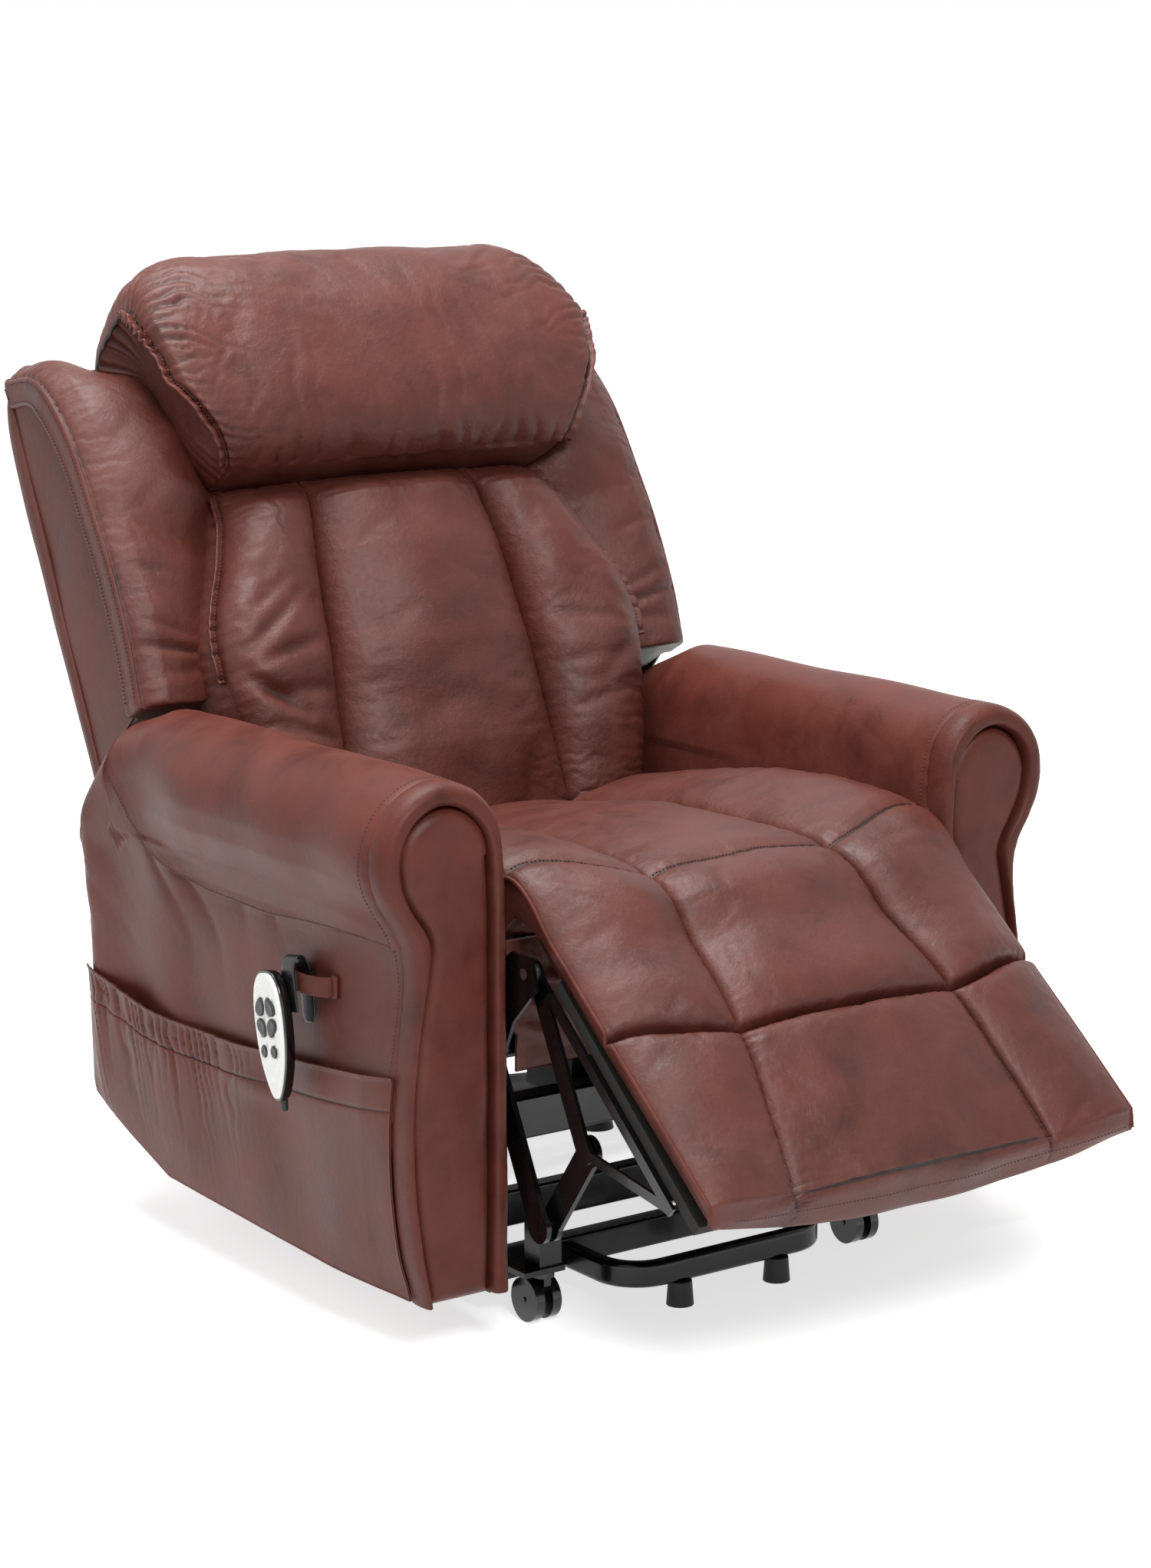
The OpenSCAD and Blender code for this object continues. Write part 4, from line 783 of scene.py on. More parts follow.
# three channels side by side: each rises from its seams as part of an oval, and the outer ones turn
# down to the flange
def addLumbar():
    p = lumbar
    q = packed([-3, -1, 1, 3], [46, 56, 46])
    w = packed([p["foot"], p["top"]], [128])
    ws, qs = np.meshgrid(w, q, indexing="ij")
    half = smoothly(p["outline"], ws)
    valley = follow(p["valley"], ws)
    xs = np.where(np.abs(qs) <= 1, qs * valley,
                  np.sign(qs) * (valley + (np.abs(qs) - 1) / 2 * (half - valley)))
    local = np.where(np.abs(qs) <= 1, np.abs(qs), np.abs(np.abs(qs) - 2))
    across = np.where(np.abs(qs) >= 2, (1 - local ** 2.4) ** 0.60, (1 - local ** 2.4) ** 0.56)
    m = clamp((np.abs(qs) - 1) / 2)
    base = follow(p["valleyDepth"], ws) * (1 - m) + follow(p["edgeDepth"], ws) * m
    crown = follow(p["crown"], ws) * np.where(np.abs(qs) <= 1, 1, 0.80)
    height = crown * across
    away = (1 - local) * 0.10
    sewn = 0.0030 * gather(ws, away, 0.014, 0.022, 61) * (np.abs(qs) < 2)
    height = height + sewn * np.where(np.abs(qs) > 1, 1.0, 0.55)
    height = height + 0.0032 * gather(xs, clamp(p["top"] - ws), 0.017, 0.032, 62)
    outer = clamp(np.abs(qs) - 2)
    drawn = 0.0036 * gather(ws, (1 - outer) * 0.06, 0.015, 0.036, 63) * (np.abs(qs) > 2)
    height = height + drawn * np.where(ws < 0.40, 1, 0.4)
    height = height + 0.0030 * waves(xs, ws, 0.11, 64) * across
    fold = sum(crease(xs, ws, a, b, wd) * d + 0.45 * crease(-xs, ws, a, b, wd) * d
               for a, b, wd, d in p["folds"])
    vs = base - height - fold
    frontGrid = onBack(xs, vs, ws)
    k = np.linspace(0, 1, 17)[1:-1]  # the sides swell behind the flange seam, then run back to the posts
    sideV = vs[:, -1][:, None] + (p["rear"] - vs[:, -1][:, None]) * k
    swell = (0.018 * np.sin(np.pi * clamp(k * 1.5)) ** 0.8 - 0.012 * k
             + 0.004 * gather(ws[:, :1], k[None] * 0.10, 0.02, 0.05, 66))
    right = onBack(half[:, -1][:, None] + swell, sideV, ws[:, :1])
    left = onBack(-(half[:, :1] + swell[:, ::-1]), (vs[:, :1] + (p["rear"] - vs[:, :1]) * k)[:, ::-1],
                  ws[:, :1])
    rings = np.concatenate([frontGrid, right, left], axis=1)
    up = onBack(0, 0, 1.0) - onBack(0, 0, 0.0)

    def turnOver(ring, sign):  # soft closing rows over the head and the foot
        mid = ring.mean(0)
        sizes = ((0.35, 0.988), (0.7, 0.951), (0.9, 0.919), (1.0, 0.80))
        return np.array([mid + (ring - mid) * f + up * sign * 0.006 * math.sin(a * math.pi / 2)
                         for a, f in sizes])
    rings = np.concatenate([turnOver(rings[0], -1)[::-1], rings, turnOver(rings[-1], 1)])
    obj = addTube("lumbarCushion", rings, hideMain, "back")
    loose = np.zeros(rings.shape[:2])
    loose[4:-4, :len(q)] = across * clamp((p["top"] - ws) / 0.02)
    settle(obj, np.r_[loose.ravel() ** 0.5, 0, 0], pressure=1.0, shrink=-0.014, cap=0.0035)
    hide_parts("lumbar_cushion")
    return obj, q, w, rings.shape


lumbarCushion, lumbarQ, lumbarW, lumbarShape = addLumbar()
print("lumbar cushion made")

# wings
wing = {"line": ((-0.047, 0.289), (-0.056, 0.350), (-0.056, 0.435), (-0.049, 0.501), (-0.034, 0.598),
                 (-0.002, 0.672), (0.036, 0.706), (0.094, 0.724)), "outer": 0.3835,
        "inner": ((0.28, 0.235), (0.44, 0.205), (0.55, 0.190), (0.66, 0.215), (0.73, 0.26)),
        "strip": 0.034,
        "foot": ((-0.02, 0.006), (0, 0.006), (0.047, 0.016), (0.097, 0.032), (0.147, 0.067)),
        "folds": (((0.004, 0.060), (0.105, 0.042), 0.006, -0.0050),
                  ((0.015, 0.085), (0.085, 0.062), 0.006, -0.0030),
                  ((0.015, 0.150), (0.070, 0.135), 0.007, -0.0022),
                  ((0.02, 0.025), (0.10, 0.030), 0.008, -0.0035),
                  ((0.03, 0.21), (0.11, 0.26), 0.012, -0.002))}


# sections square to the front line: the stitched band on the outer side, then the pad that rolls in
# to the cushions
def addWing(name, sign):
    p = wing
    rows = 150
    line = evenly(curveThrough(p["line"], 300), rows)
    tangent = unit(np.gradient(line, axis=0))
    inward = np.stack([tangent[:, 1], -tangent[:, 0]], -1)
    ws = line[:, 1]
    path = np.linspace(0, 1, rows)[:, None] * 0.5
    inner = follow(p["inner"], ws)
    outer = (p["outer"] - 0.005 * clamp((ws - 0.68) / 0.04))[:, None]
    # the band's section: out from the side, and behind the front line
    band = [(-0.014, 0.075), (-0.012, p["strip"] + 0.010), (-0.0078, p["strip"] + 0.0022),
            (-0.0030, p["strip"] + 0.0018), (0.0002, p["strip"] + 0.0010),
            (0.0014, p["strip"] - 0.0010), (0.0014, p["strip"] - 0.0036), (0.0004, p["strip"] - 0.008),
            (0.0006, 0.020), (0.0009, 0.013), (0.0004, 0.0078), (-0.0004, 0.0052), (-0.0018, 0.0030),
            (-0.0034, 0.0024), (-0.0046, 0.0044)]
    xs = np.concatenate([outer + a for a, b in band], 1)
    ns = np.concatenate([np.full((rows, 1), b) for a, b in band], 1)
    ripple = (0.0011 * gather(path, np.abs(ns - 0.004), 0.013, 0.016, 75)
              * np.clip((path - 0.33) / 0.05, 0.25, 1))
    xs = xs + np.where((ns > 0.0015) & (ns < p["strip"]), ripple, 0)
    k = np.linspace(0, 1, 52)[1:]
    padX = outer - 0.0050 - (outer - 0.0050 - inner[:, None]) * k[None] ** 1.2
    across = outer - 0.0050 - padX
    hump = 0.016 * clamp(across / 0.026) ** 0.5
    plump = 0.034 * bell(across, 0.112, 0.055) * ease((ws[:, None] - 0.46) / 0.08)  # beside the pillow
    hump = hump + plump * ease((0.715 - ws[:, None]) / 0.09)
    fallIn = 0.054 * clamp((across - 0.028) / 0.15) ** 1.7
    n = 0.0040 - hump + fallIn
    sewn = 0.0030 * gather(path, across, 0.014, 0.026, 71 + (sign > 0))
    n = n - sewn * np.where(path > 0.34, 1.7, 0.6) - 0.0025 * waves(across, path, 0.10, 73)
    n = n - sum(crease(across, path, a, b, wd) * d for a, b, wd, d in p["folds"])
    xs = np.concatenate([xs, padX, inner[:, None] + 0.012, outer - 0.05], 1)
    ns = np.concatenate([ns, n, np.full((rows, 1), 0.075), np.full((rows, 1), 0.085)], 1)
    ns = np.minimum(ns, np.clip(0.099 - line[:, :1], 0.004, 1) / np.maximum(np.abs(inward[:, :1]), 0.35))
    drop = follow(p["foot"], ns) * np.exp(-path / 0.045)
    grid = onBack(sign * xs, line[:, :1] + inward[:, :1] * ns, line[:, 1:] + inward[:, 1:] * ns - drop)
    ends = []
    for ring, nxt in ((grid[0], grid[1]), (grid[-1], grid[-2])):
        mid = ring.mean(0)
        up = unit(mid - nxt.mean(0))
        ends.append(np.array([mid + (ring - mid) * (1 - 0.12 * a ** 2)
                              + up * 0.006 * math.sin(a * math.pi / 2) for a in (0.4, 0.75, 1.0)]))
    rings = np.concatenate([ends[0][::-1], grid, ends[1]])
    obj = addTube(name, rings, hideMain, "back")
    loose = np.zeros(rings.shape[:2])
    loose[3:-3, len(band):len(band) + len(k)] = clamp(across / 0.02) * clamp((0.16 - across) / 0.03)
    settle(obj, np.r_[loose.ravel(), 0, 0], pressure=0.7, shrink=-0.012, cap=0.003)
    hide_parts("wing_left" if sign < 0 else "wing_right")
    for col in (6, 10):  # topstitch along the band's fold and beside the front seam
        stitch("back", grid[2:-2, col] + np.array([sign * 0.0004, 0, 0]),
               np.tile([sign * 1.0, 0, 0], (rows - 4, 1)))


addWing("wingLeft", -1)
addWing("wingRight", 1)
print("wings made")

# outside back and its side panels
shell = {"half": 0.375, "thick": 0.010,
         "rear": ((0.1215, -0.020), (0.126, 0.288), (0.133, 0.480), (0.134, 0.600), (0.131, 0.660),
                  (0.121, 0.694), (0.104, 0.718), (0.094, 0.724))}
# the side's lower edge clears the arm
backFoot = ((-0.060, 0.297), (-0.050, 0.295), (0, 0.279), (0.05, 0.259), (0.0997, 0.222), (0.14, 0.187))


def addShell():  # rear line of the side view carried across, slightly crowned, with a centre seam
    p = shell
    line = evenly(curveThrough(p["rear"], 300), 96)
    ws = line[:, 1]
    half = np.interp(ws, [-0.02, 0.185, 0.205, 0.225, 0.70, 0.724],
                     [0.278, 0.280, 0.300, p["half"], p["half"], p["half"] - 0.006])
    q = packed([-1, 1], [72])
    qs = q[None]
    xs = qs * half[:, None]
    thick = p["thick"]
    crown = (thick * (1 - qs ** 2) ** 0.7 * clamp((0.73 - ws[:, None]) / 0.10)
             * clamp((ws[:, None] + 0.03) / 0.1))
    edge = clamp((1 - np.abs(qs)) * half[:, None] / thick)  # the rim is rounded
    vs = line[:, :1] - thick + crown + thick * edge ** 0.5 + 0.0012 * waves(xs, ws[:, None], 0.14, 81)
    vs = vs - 0.0022 * bell(xs, 0, 0.0022) * (ws[:, None] < 0.60)
    rear = onBack(xs, vs, np.broadcast_to(ws[:, None], xs.shape))
    inner = onBack(xs, np.broadcast_to(np.minimum(0.1, line[:, :1] - 0.012), xs.shape),
                   np.broadcast_to(ws[:, None], xs.shape))
    obj = addTube("backCover", np.concatenate([rear, inner[:, ::-1]], axis=1), hideMain, "back")
    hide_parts("back_shell")
    out = onBack(0, 1.0, 0.0) - onBack(0, 0, 0.0)
    for col in (2, len(q) - 3):
        stitch("back", rear[24:, col], np.tile(out, (len(ws) - 24, 1)))
    for dx in (-0.006, 0.006):
        path = onBack(np.full(70, dx), np.interp(np.linspace(0.0, 0.6, 70), ws, line[:, 0]) + 0.0098,
                      np.linspace(0.0, 0.6, 70))
        stitch("back", path, np.tile(out, (70, 1)))


sideOfBack = {"foot": 0.280, "top": 0.716, "x": 0.3705, "thick": 0.0025}


# flat side panel between the wing's band and the outside back, with small gathers under the band's
# bend
def addSideOfBack(name, sign):
    p = sideOfBack
    rows = 96
    lead = evenly(curveThrough(wing["line"], 300), 200)
    rearLine = curveThrough(shell["rear"], 300)
    r = np.linspace(0, 1, rows)[:, None]
    frontW = p["foot"] + (p["top"] - p["foot"]) * r
    front = np.interp(frontW, lead[:, 1], lead[:, 0]) + wing["strip"] * 0.72
    rear = np.interp(frontW, rearLine[:, 1], rearLine[:, 0]) - 0.003
    front = np.minimum(front, rear - 0.004)
    k = packed([0, 1], [44])[None]
    vs = front + (rear - front) * k
    low = follow(backFoot, vs) - 0.004
    ws = low + (p["top"] - low) * r
    away = vs - front
    bulge = 0.0030 * np.sin(np.pi * k) ** 0.5
    bead = (0.0042 * bell(away, 0.014, 0.007) * np.abs(np.cos(np.pi * ws / 0.0095)) ** 2
            * clamp((ws - 0.585) / 0.04))
    xs = p["x"] + bulge + bead + 0.0014 * waves(vs, ws, 0.15, 91) - 0.004 * bell(away, 0, 0.006)
    grid = onBack(sign * xs, vs, ws)
    obj = addSheet(name, grid[::-1] if sign > 0 else grid, p["thick"], hideSide, "back")


addShell()
addSideOfBack("sideOfBackLeft", -1)
addSideOfBack("sideOfBackRight", 1)
print("back covers made")

# arms
# matched points round the keyhole front, from the inner foot over the scroll to the outer foot:
# outer edge of the roll (x, z), panel's edge (x, z)
keyhole = ((0.2882, 0.064, 0.3140, 0.066), (0.2882, 0.180, 0.3110, 0.180),
           (0.2882, 0.300, 0.3090, 0.300), (0.2882, 0.420, 0.3080, 0.420),
           (0.2885, 0.500, 0.3080, 0.495), (0.2955, 0.558, 0.3135, 0.545),
           (0.3180, 0.592, 0.3330, 0.571), (0.3500, 0.6065, 0.3555, 0.5815),
           (0.3800, 0.6060, 0.3780, 0.5800), (0.4120, 0.590, 0.4005, 0.5665),
           (0.4340, 0.5625, 0.4130, 0.545), (0.4420, 0.530, 0.4150, 0.522),
           (0.4385, 0.503, 0.4105, 0.4985), (0.4270, 0.479, 0.3995, 0.477),
           (0.4120, 0.455, 0.3865, 0.458), (0.4035, 0.432, 0.3805, 0.441),
           (0.4005, 0.408, 0.3830, 0.421), (0.4010, 0.380, 0.3885, 0.395),
           (0.4065, 0.335, 0.3980, 0.345), (0.4130, 0.285, 0.4045, 0.290),
           (0.4160, 0.240, 0.4068, 0.245), (0.4145, 0.180, 0.4045, 0.185),
           (0.4075, 0.120, 0.3970, 0.125), (0.3970, 0.080, 0.3905, 0.085),
           (0.3935, 0.064, 0.3875, 0.066))
wrapSeam = ((0.030, 0.439), (0.10, 0.440), (0.20, 0.434), (0.28, 0.429), (0.408, 0.430), (0.47, 0.441),
            (0.52, 0.460), (0.560, 0.486), (0.590, 0.522), (0.604, 0.560), (0.609, 0.600))
arm = {"middle": (0.350, 0.350), "foot": 0.064, "waist": 0.36, "rise": 0.247, "crest": 0.607,
       "footRear": ((0, 0.060), (0.51, 0.080), (0.60, 0.110), (0.678, 0.141), (0.69, 0.165)),
       "top": ((0, 0.607), (0.535, 0.607), (0.600, 0.582), (0.640, 0.545), (0.66, 0.520),
               (0.682, 0.482), (0.69, 0.462))}
keyholeLine = evenly(curveThrough(keyhole, 500), 250)
keyholeTop = int(np.argmax(keyholeLine[:, 1]))


def undersideOf(s):  # the arm's lower line climbs gently, then steeply at the rear
    return np.maximum(arm["foot"] + np.clip(s - 0.026, 0, None) * 0.016 / 0.484, follow(arm["footRear"], s))


# outer face under the scroll: the front seam's S-curve eases into a flat side, which swells out to
# the scroll at the rear
def armSideX(s, z):
    rim = keyholeLine[keyholeTop:][::-1]
    front = np.interp(z, rim[:, 1], rim[:, 0])
    side = np.interp(z, [0.36, 0.42, 0.44, 0.46, 0.479, 0.503, 0.53],
                     [0.405, 0.4052, 0.4080, 0.4155, 0.4270, 0.4385, 0.442])
    rear = np.interp(z, [0.06, 0.25, 0.40, 0.47, 0.53], [0.404, 0.407, 0.4140, 0.4170, 0.4200])
    x = front + (side - front) * ease((s - 0.03) / 0.15)
    return x + (rear - x) * ease((s - 0.38) / 0.20)


# keyhole outline carried rearwards; one column follows the wrap seam, and the foot is closed flat
def addArm(name, sign):
    a = arm
    foot, waist, rise = a["foot"], a["waist"], a["rise"]  # the outline follows the top line above the waist
    stations = np.concatenate([[0.0262, 0.0275, 0.0300, 0.034], np.linspace(0.040, 0.655, 110),
                               0.690 - 0.035 * (1 - np.linspace(0, 1, 12)[1:]) ** 1.6])
    ss = stations[:, None]
    top = follow(a["top"], ss)
    low = undersideOf(ss)
    seamZ = follow(wrapSeam, ss)
    seam0 = waist + (np.minimum(seamZ, top) - waist) * rise / (top - waist)
    outerRim = keyholeLine[keyholeTop:, :2]
    tt = np.linspace(0, 1, len(outerRim))
    seamT = np.maximum(np.interp(seam0, outerRim[::-1, 1], tt[::-1]), 0.03)
    k = np.linspace(0, 1, 62)
    upper = seamT * (1 - (1 - k[None]) ** 1.7)
    lower = seamT + (1 - seamT) * (0.25 * k[None, 1:] + 0.75 * k[None, 1:] ** 2.0)
    ts = np.concatenate([upper, lower], 1)
    seamCol = upper.shape[1] - 1
    innerRim = keyholeLine[:keyholeTop, :2]
    start, outerCount = len(innerRim), ts.shape[1]
    x0 = np.concatenate([np.broadcast_to(innerRim[None, :, 0], (len(ss), start)),
                         np.interp(ts, tt, outerRim[:, 0])], 1)
    z0 = np.concatenate([np.broadcast_to(innerRim[None, :, 1], (len(ss), start)),
                         np.interp(ts, tt, outerRim[:, 1])], 1)
    col = np.arange(x0.shape[1])[None] + 0 * ss
    outerSide = col >= start
    x0 = np.where(outerSide & (z0 < 0.53), armSideX(ss, z0),
                  x0 - outerSide * 0.022 * ease((ss - 0.38) / 0.20) * clamp((a["crest"] - z0) / 0.077))
    share = np.array([0.02, 0.2, 0.5, 0.8, 0.98])[None]
    footX = x0[:, -1:] + (x0[:, :1] - x0[:, -1:]) * share
    x0, z0 = np.concatenate([x0, footX], 1), np.concatenate([z0, np.full_like(footX, foot)], 1)
    outerSide = np.concatenate([outerSide, np.zeros_like(footX, bool)], 1)
    zs = np.where(z0 > waist, waist + (z0 - waist) * (top - waist) / rise,
                  waist - (waist - z0) * (waist - low) / (waist - foot))
    out = unit(np.stack([-np.gradient(zs, axis=1), np.gradient(x0, axis=1)], -1))
    out = out * np.sign(((x0 - a["middle"][0]) * out[..., 0] + (zs - a["middle"][1]) * out[..., 1]).mean())
    inset = 0.0040 * np.exp(-(ss - 0.026) / 0.004) + 0.012 * clamp((ss - 0.662) / 0.028) ** 2
    side = outerSide & (z0 < 0.47)
    under = seamZ - zs
    near = outerSide & (ss < 0.608)
    lap = np.where(near,
                   np.where(under <= 1e-6, 0.0030 * np.exp(under / 0.030),
                            -0.0012 * np.exp(-under / 0.006)), 0)
    pucker = near * 0.0010 * gather(ss, np.abs(under), 0.011, 0.012, 109)
    folds = (side * 0.0036 * gather(ss + 0.45 * (0.44 - zs), clamp(under), 0.070, 0.080, 103)
             * clamp(ss * 6 - 0.9) * (under > 0))
    hang = side * 0.0045 * waves(ss + 0 * zs, zs * 0.22, 0.105, 105) * clamp((ss - 0.22) / 0.25)
    rearFolds = (outerSide * 0.0025 * gather(zs - 0.8 * ss, clamp(0.69 - ss), 0.05, 0.09, 108)
                 * clamp((ss - 0.52) / 0.1) * (zs > 0.34))
    foldEnd = 0.0016 * gather(x0 - zs, ss - 0.028, 0.020, 0.014, 107)
    d = (0.0020 * waves(ss + 0 * zs, zs, 0.17, 101 + (sign > 0)) + lap + pucker + folds + hang
         + rearFolds + foldEnd - inset)
    d = d * np.where((x0 < 0.30) & (z0 < 0.50), 0.0, 1.0)  # the inner face stays clear of the seat
    if sign < 0:  # drawn tight behind the handset, so that its clip slides up clear of the leather
        d = d * (1 - 0.95 * outerSide * np.exp(-((ss - 0.190) / 0.055) ** 4 - ((zs - 0.405) / 0.070) ** 4))
    grid = onChair(sign * (x0 + out[..., 0] * d), ss + 0 * x0, zs + out[..., 1] * d)
    obj = addTube(name, grid, hideSide, "chassis")
    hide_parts("arm_left" if sign < 0 else "arm_right")
    facing = np.stack([sign * out[..., 0], 0 * out[..., 0], out[..., 1]], -1)
    rim = np.arange(6, start + outerCount - 6)
    order = np.r_[rim[rim < start], rim[rim >= start]]
    stitch("chassis", grid[4, order], facing[4, order])
    rows = np.where((stations > 0.036) & (stations < 0.600))[0]
    stitch("chassis", grid[rows, start + seamCol - 3], np.tile([sign, 0, 0.0], (len(rows), 1)))


border = {"front": 0.0275, "slant": 0.0075, "roll": 0.0235, "rear": (0.033, 0.030, 0.034)}


def addBorder(name, sign):  # roll round the keyhole: half an oval from the arm's edge to the panel's edge
    b, line = border, keyholeLine
    k = np.linspace(0, np.pi, 22)
    m = 0.5 - 0.5 * np.sign(np.cos(k)) * np.abs(np.cos(k)) ** 0.85
    m = np.r_[0.10, 0.03 + 0.95 * m, 0.93, 0.5]
    roll = b["front"] - b["slant"] * (1 - np.cos(k)) / 2 - b["roll"] * np.sin(k) ** 0.62
    depth = np.r_[b["rear"][0], roll, b["rear"][1:]]
    arc = np.linspace(0, 1.25, len(line))[:, None]
    bulge = np.r_[0, np.sin(k), 0, 0][None]
    ss = depth[None] + bulge * (0.0010 * waves(arc, arc * 0, 0.09, 111)
                                - 0.0009 * gather(arc, 0.006 + 0 * arc, 0.026, 0.02, 112))
    x = line[:, :1] + (line[:, 2:3] - line[:, :1]) * m
    z = line[:, 1:2] + (line[:, 3:4] - line[:, 1:2]) * m
    grid = onChair(sign * x, np.clip(ss, 0.0002, 1), z)
    caps = []
    for ring in (grid[0], grid[-1]):
        c0 = ring.mean(0)
        caps.append(np.array([c0 + (ring - c0) * f + np.array([0, 0, -0.003 * g])
                              for f, g in ((0.97, 0.2), (0.90, 0.4), (0.75, 0.5))]))
    obj = addTube(name, np.concatenate([caps[0][::-1], grid, caps[1]]), hideBorder, "chassis")
    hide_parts("arm_border_left" if sign < 0 else "arm_border_right")


panel = {"foot": 0.066, "round": (0.3615, 0.527, 0.0545), "roll": 0.015, "edge": 0.0205,
         "proud": 0.0155, "swell": 0.0022}


# rows up the keyhole, each from the inner to the outer edge; depth falls off towards the edge as a
# quarter of an oval
def addPanel(name, sign):
    p = panel
    edge = keyholeLine[:, 2:]
    top = int(np.argmax(edge[:, 1]))
    rise = np.linspace(0, 1, 150)
    roundX, roundZ, radius = p["round"]
    z = p["foot"] + (edge[top, 1] - 0.0003 - p["foot"]) * np.sin(rise * np.pi / 2)
    inner = np.interp(z, edge[:top + 1, 1], edge[:top + 1, 0])[:, None]
    outer = np.interp(z, edge[top:, 1][::-1], edge[top:, 0][::-1])[:, None]
    q = packed([-1, 1], [40])[None]
    x = (inner + outer) / 2 + (outer - inner) / 2 * q
    z = np.broadcast_to(z[:, None], x.shape)
    away = (outer - inner) / 2 * (1 - np.abs(q))
    away = np.where(z > roundZ, np.maximum(radius - np.hypot(x - roundX, z - roundZ), 0), away)
    away = np.minimum(away, z - arm["foot"])
    lift = (1 - (1 - clamp(away / p["roll"])) ** 2) ** 0.5
    ss = (p["edge"] - p["proud"] * lift - p["swell"] * clamp(away / 0.05) ** 0.7
          + 0.0010 * waves(x, z, 0.08, 121) * lift)
    front = onChair(sign * x, ss, z)
    back = onChair(sign * ((inner + outer) / 2 + (x - (inner + outer) / 2) * 0.96), 0.0258, z)
    obj = addTube(name, np.concatenate([front, back[:, ::-1]], axis=1), hideSide, "chassis")
    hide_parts("arm_panel_left" if sign < 0 else "arm_panel_right")


for sign, word in ((-1, "Left"), (1, "Right")):
    addArm("arm" + word, sign)
    addBorder("armBorder" + word, sign)
    addPanel("armPanel" + word, sign)
print("arms made")

# front band under the seat
apron = {"top": 0.428, "bottom": 0.2865, "drop": 0.1415, "depth": 0.0345, "sag": 0.003,
         "half": ((0.2865, 0.2620), (0.326, 0.2620), (0.336, 0.2745), (0.43, 0.2745)),
         "folds": (((-0.25, 0.36), (-0.18, 0.335)), ((-0.24, 0.385), (-0.16, 0.372)),
                   ((-0.255, 0.335), (-0.20, 0.312)), ((0.14, 0.37), (0.24, 0.35)))}


def addApron():  # flat band pulled round the front rail, crumpled where the seat's cover presses on it
    p = apron
    q = np.linspace(-1, 1, 120)[:, None]
    k = np.linspace(0, 1, 60)[None]
    xs = q * follow(p["half"], p["top"] - p["drop"] * k)
    low = p["bottom"] + p["sag"] * (1 - q ** 2)
    zs = p["top"] + (low - p["top"]) * k
    crumple = (gather(xs, (p["top"] - zs) * 0.6, 0.017, 0.050, 132) * 0.0028
               + sum(crease(xs, zs, a, b, 0.006) * 0.003 for a, b in p["folds"]))
    ss = (p["depth"] - 0.0035 * np.sin(np.pi * clamp(k * 1.2))
          + 0.0025 * waves(xs, zs, 0.09, 131) * np.sin(np.pi * k * 0.98) - crumple)
    grid = onChair(xs, ss, zs)
    obj = addSheet("frontApron", grid, 0.003, hideMain, "chassis")
    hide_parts("front_apron")
    stitch("chassis", grid[2:-2, -5] + np.array([0, -0.0004, 0]), np.tile([0, -1.0, 0], (116, 1)))


addApron()

# side pocket
pocket = {"top": ((0.030, 0.306), (0.16, 0.290), (0.30, 0.277), (0.42, 0.271), (0.50, 0.272),
                  (0.60, 0.282), (0.684, 0.294)), "hem": 0.036, "start": 0.0312, "end": 0.684,
          "thick": 0.0022}


# sheet on the arm's side: drawn up in small folds by the elastic towards the rear, hanging free
# below
def addPocket():
    s = np.linspace(pocket["start"], pocket["end"], 220)[:, None]
    hemAt = 0.22  # share of the grid above the hem's stitch line
    k = np.concatenate([np.linspace(0, hemAt, 24)[:-1],
                        hemAt + (1 - hemAt) * np.linspace(0, 1, 50) ** 1.3])[None]
    top = smoothly(pocket["top"], s)
    low = undersideOf(s) + 0.002
    drop = np.where(k < hemAt, k / hemAt * pocket["hem"],
                    pocket["hem"] + (k - hemAt) / (1 - hemAt) * (top - low - pocket["hem"]))
    zs = top - drop
    elastic = ease((s - 0.29) / 0.10)
    ruche = gather(s + 0.25 * drop, np.abs(drop - 0.020) * 0.6, 0.0155, 0.034, 141) * 0.0036 * elastic
    hang = (gather(s + 0.20 * drop, clamp(drop - pocket["hem"]), 0.050, 0.110, 142) * 0.0034
            * (0.06 + 0.94 * ease((s - 0.36) / 0.2)) * clamp(drop / 0.03))
    edge = np.minimum(clamp((s - 0.031) / 0.05), clamp((pocket["end"] - s) / 0.03)) ** 0.7
    foot = clamp((zs - low) / 0.05) ** 0.6
    puff = 0.0025 + 0.0040 * foot + 0.0032 * waves(s + 0 * zs, zs * 0.5, 0.15, 143) * foot
    # soft roll beside the handset's foot
    bag = 0.0040 * np.exp(-((s - 0.285) / 0.05) ** 2 - ((drop - 0.046) / 0.012) ** 2)
    groove = -0.0014 * bell(drop, pocket["hem"], 0.0018)
    bead = 0.0016 * bell(drop, 0, 0.004)
    xs = -(armSideX(s, zs) + 0.0012 + edge * (puff + ruche + hang + bag) + groove + bead)
    grid = onChair(xs, s + 0 * zs, zs)
    obj = addSheet("sidePocket", grid[::-1], pocket["thick"], hideSide, "chassis")
    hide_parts("side_pocket")
    hemColumn = np.argmin(np.abs(drop - pocket["hem"]), axis=1)
    path = grid[np.arange(len(s)), hemColumn]
    stitch("chassis", path[2:-2], np.tile([-1.0, 0, 0], (len(s) - 4, 1)))


addPocket()

# strap loop and clip
strap = {"start": 0.150, "length": 0.074, "height": 0.375, "arm": 0.4062, "bow": 0.0195, "half": 0.0108,
         "thick": 0.0032, "thread": (0.0036, 0.0026, 0.0010)}


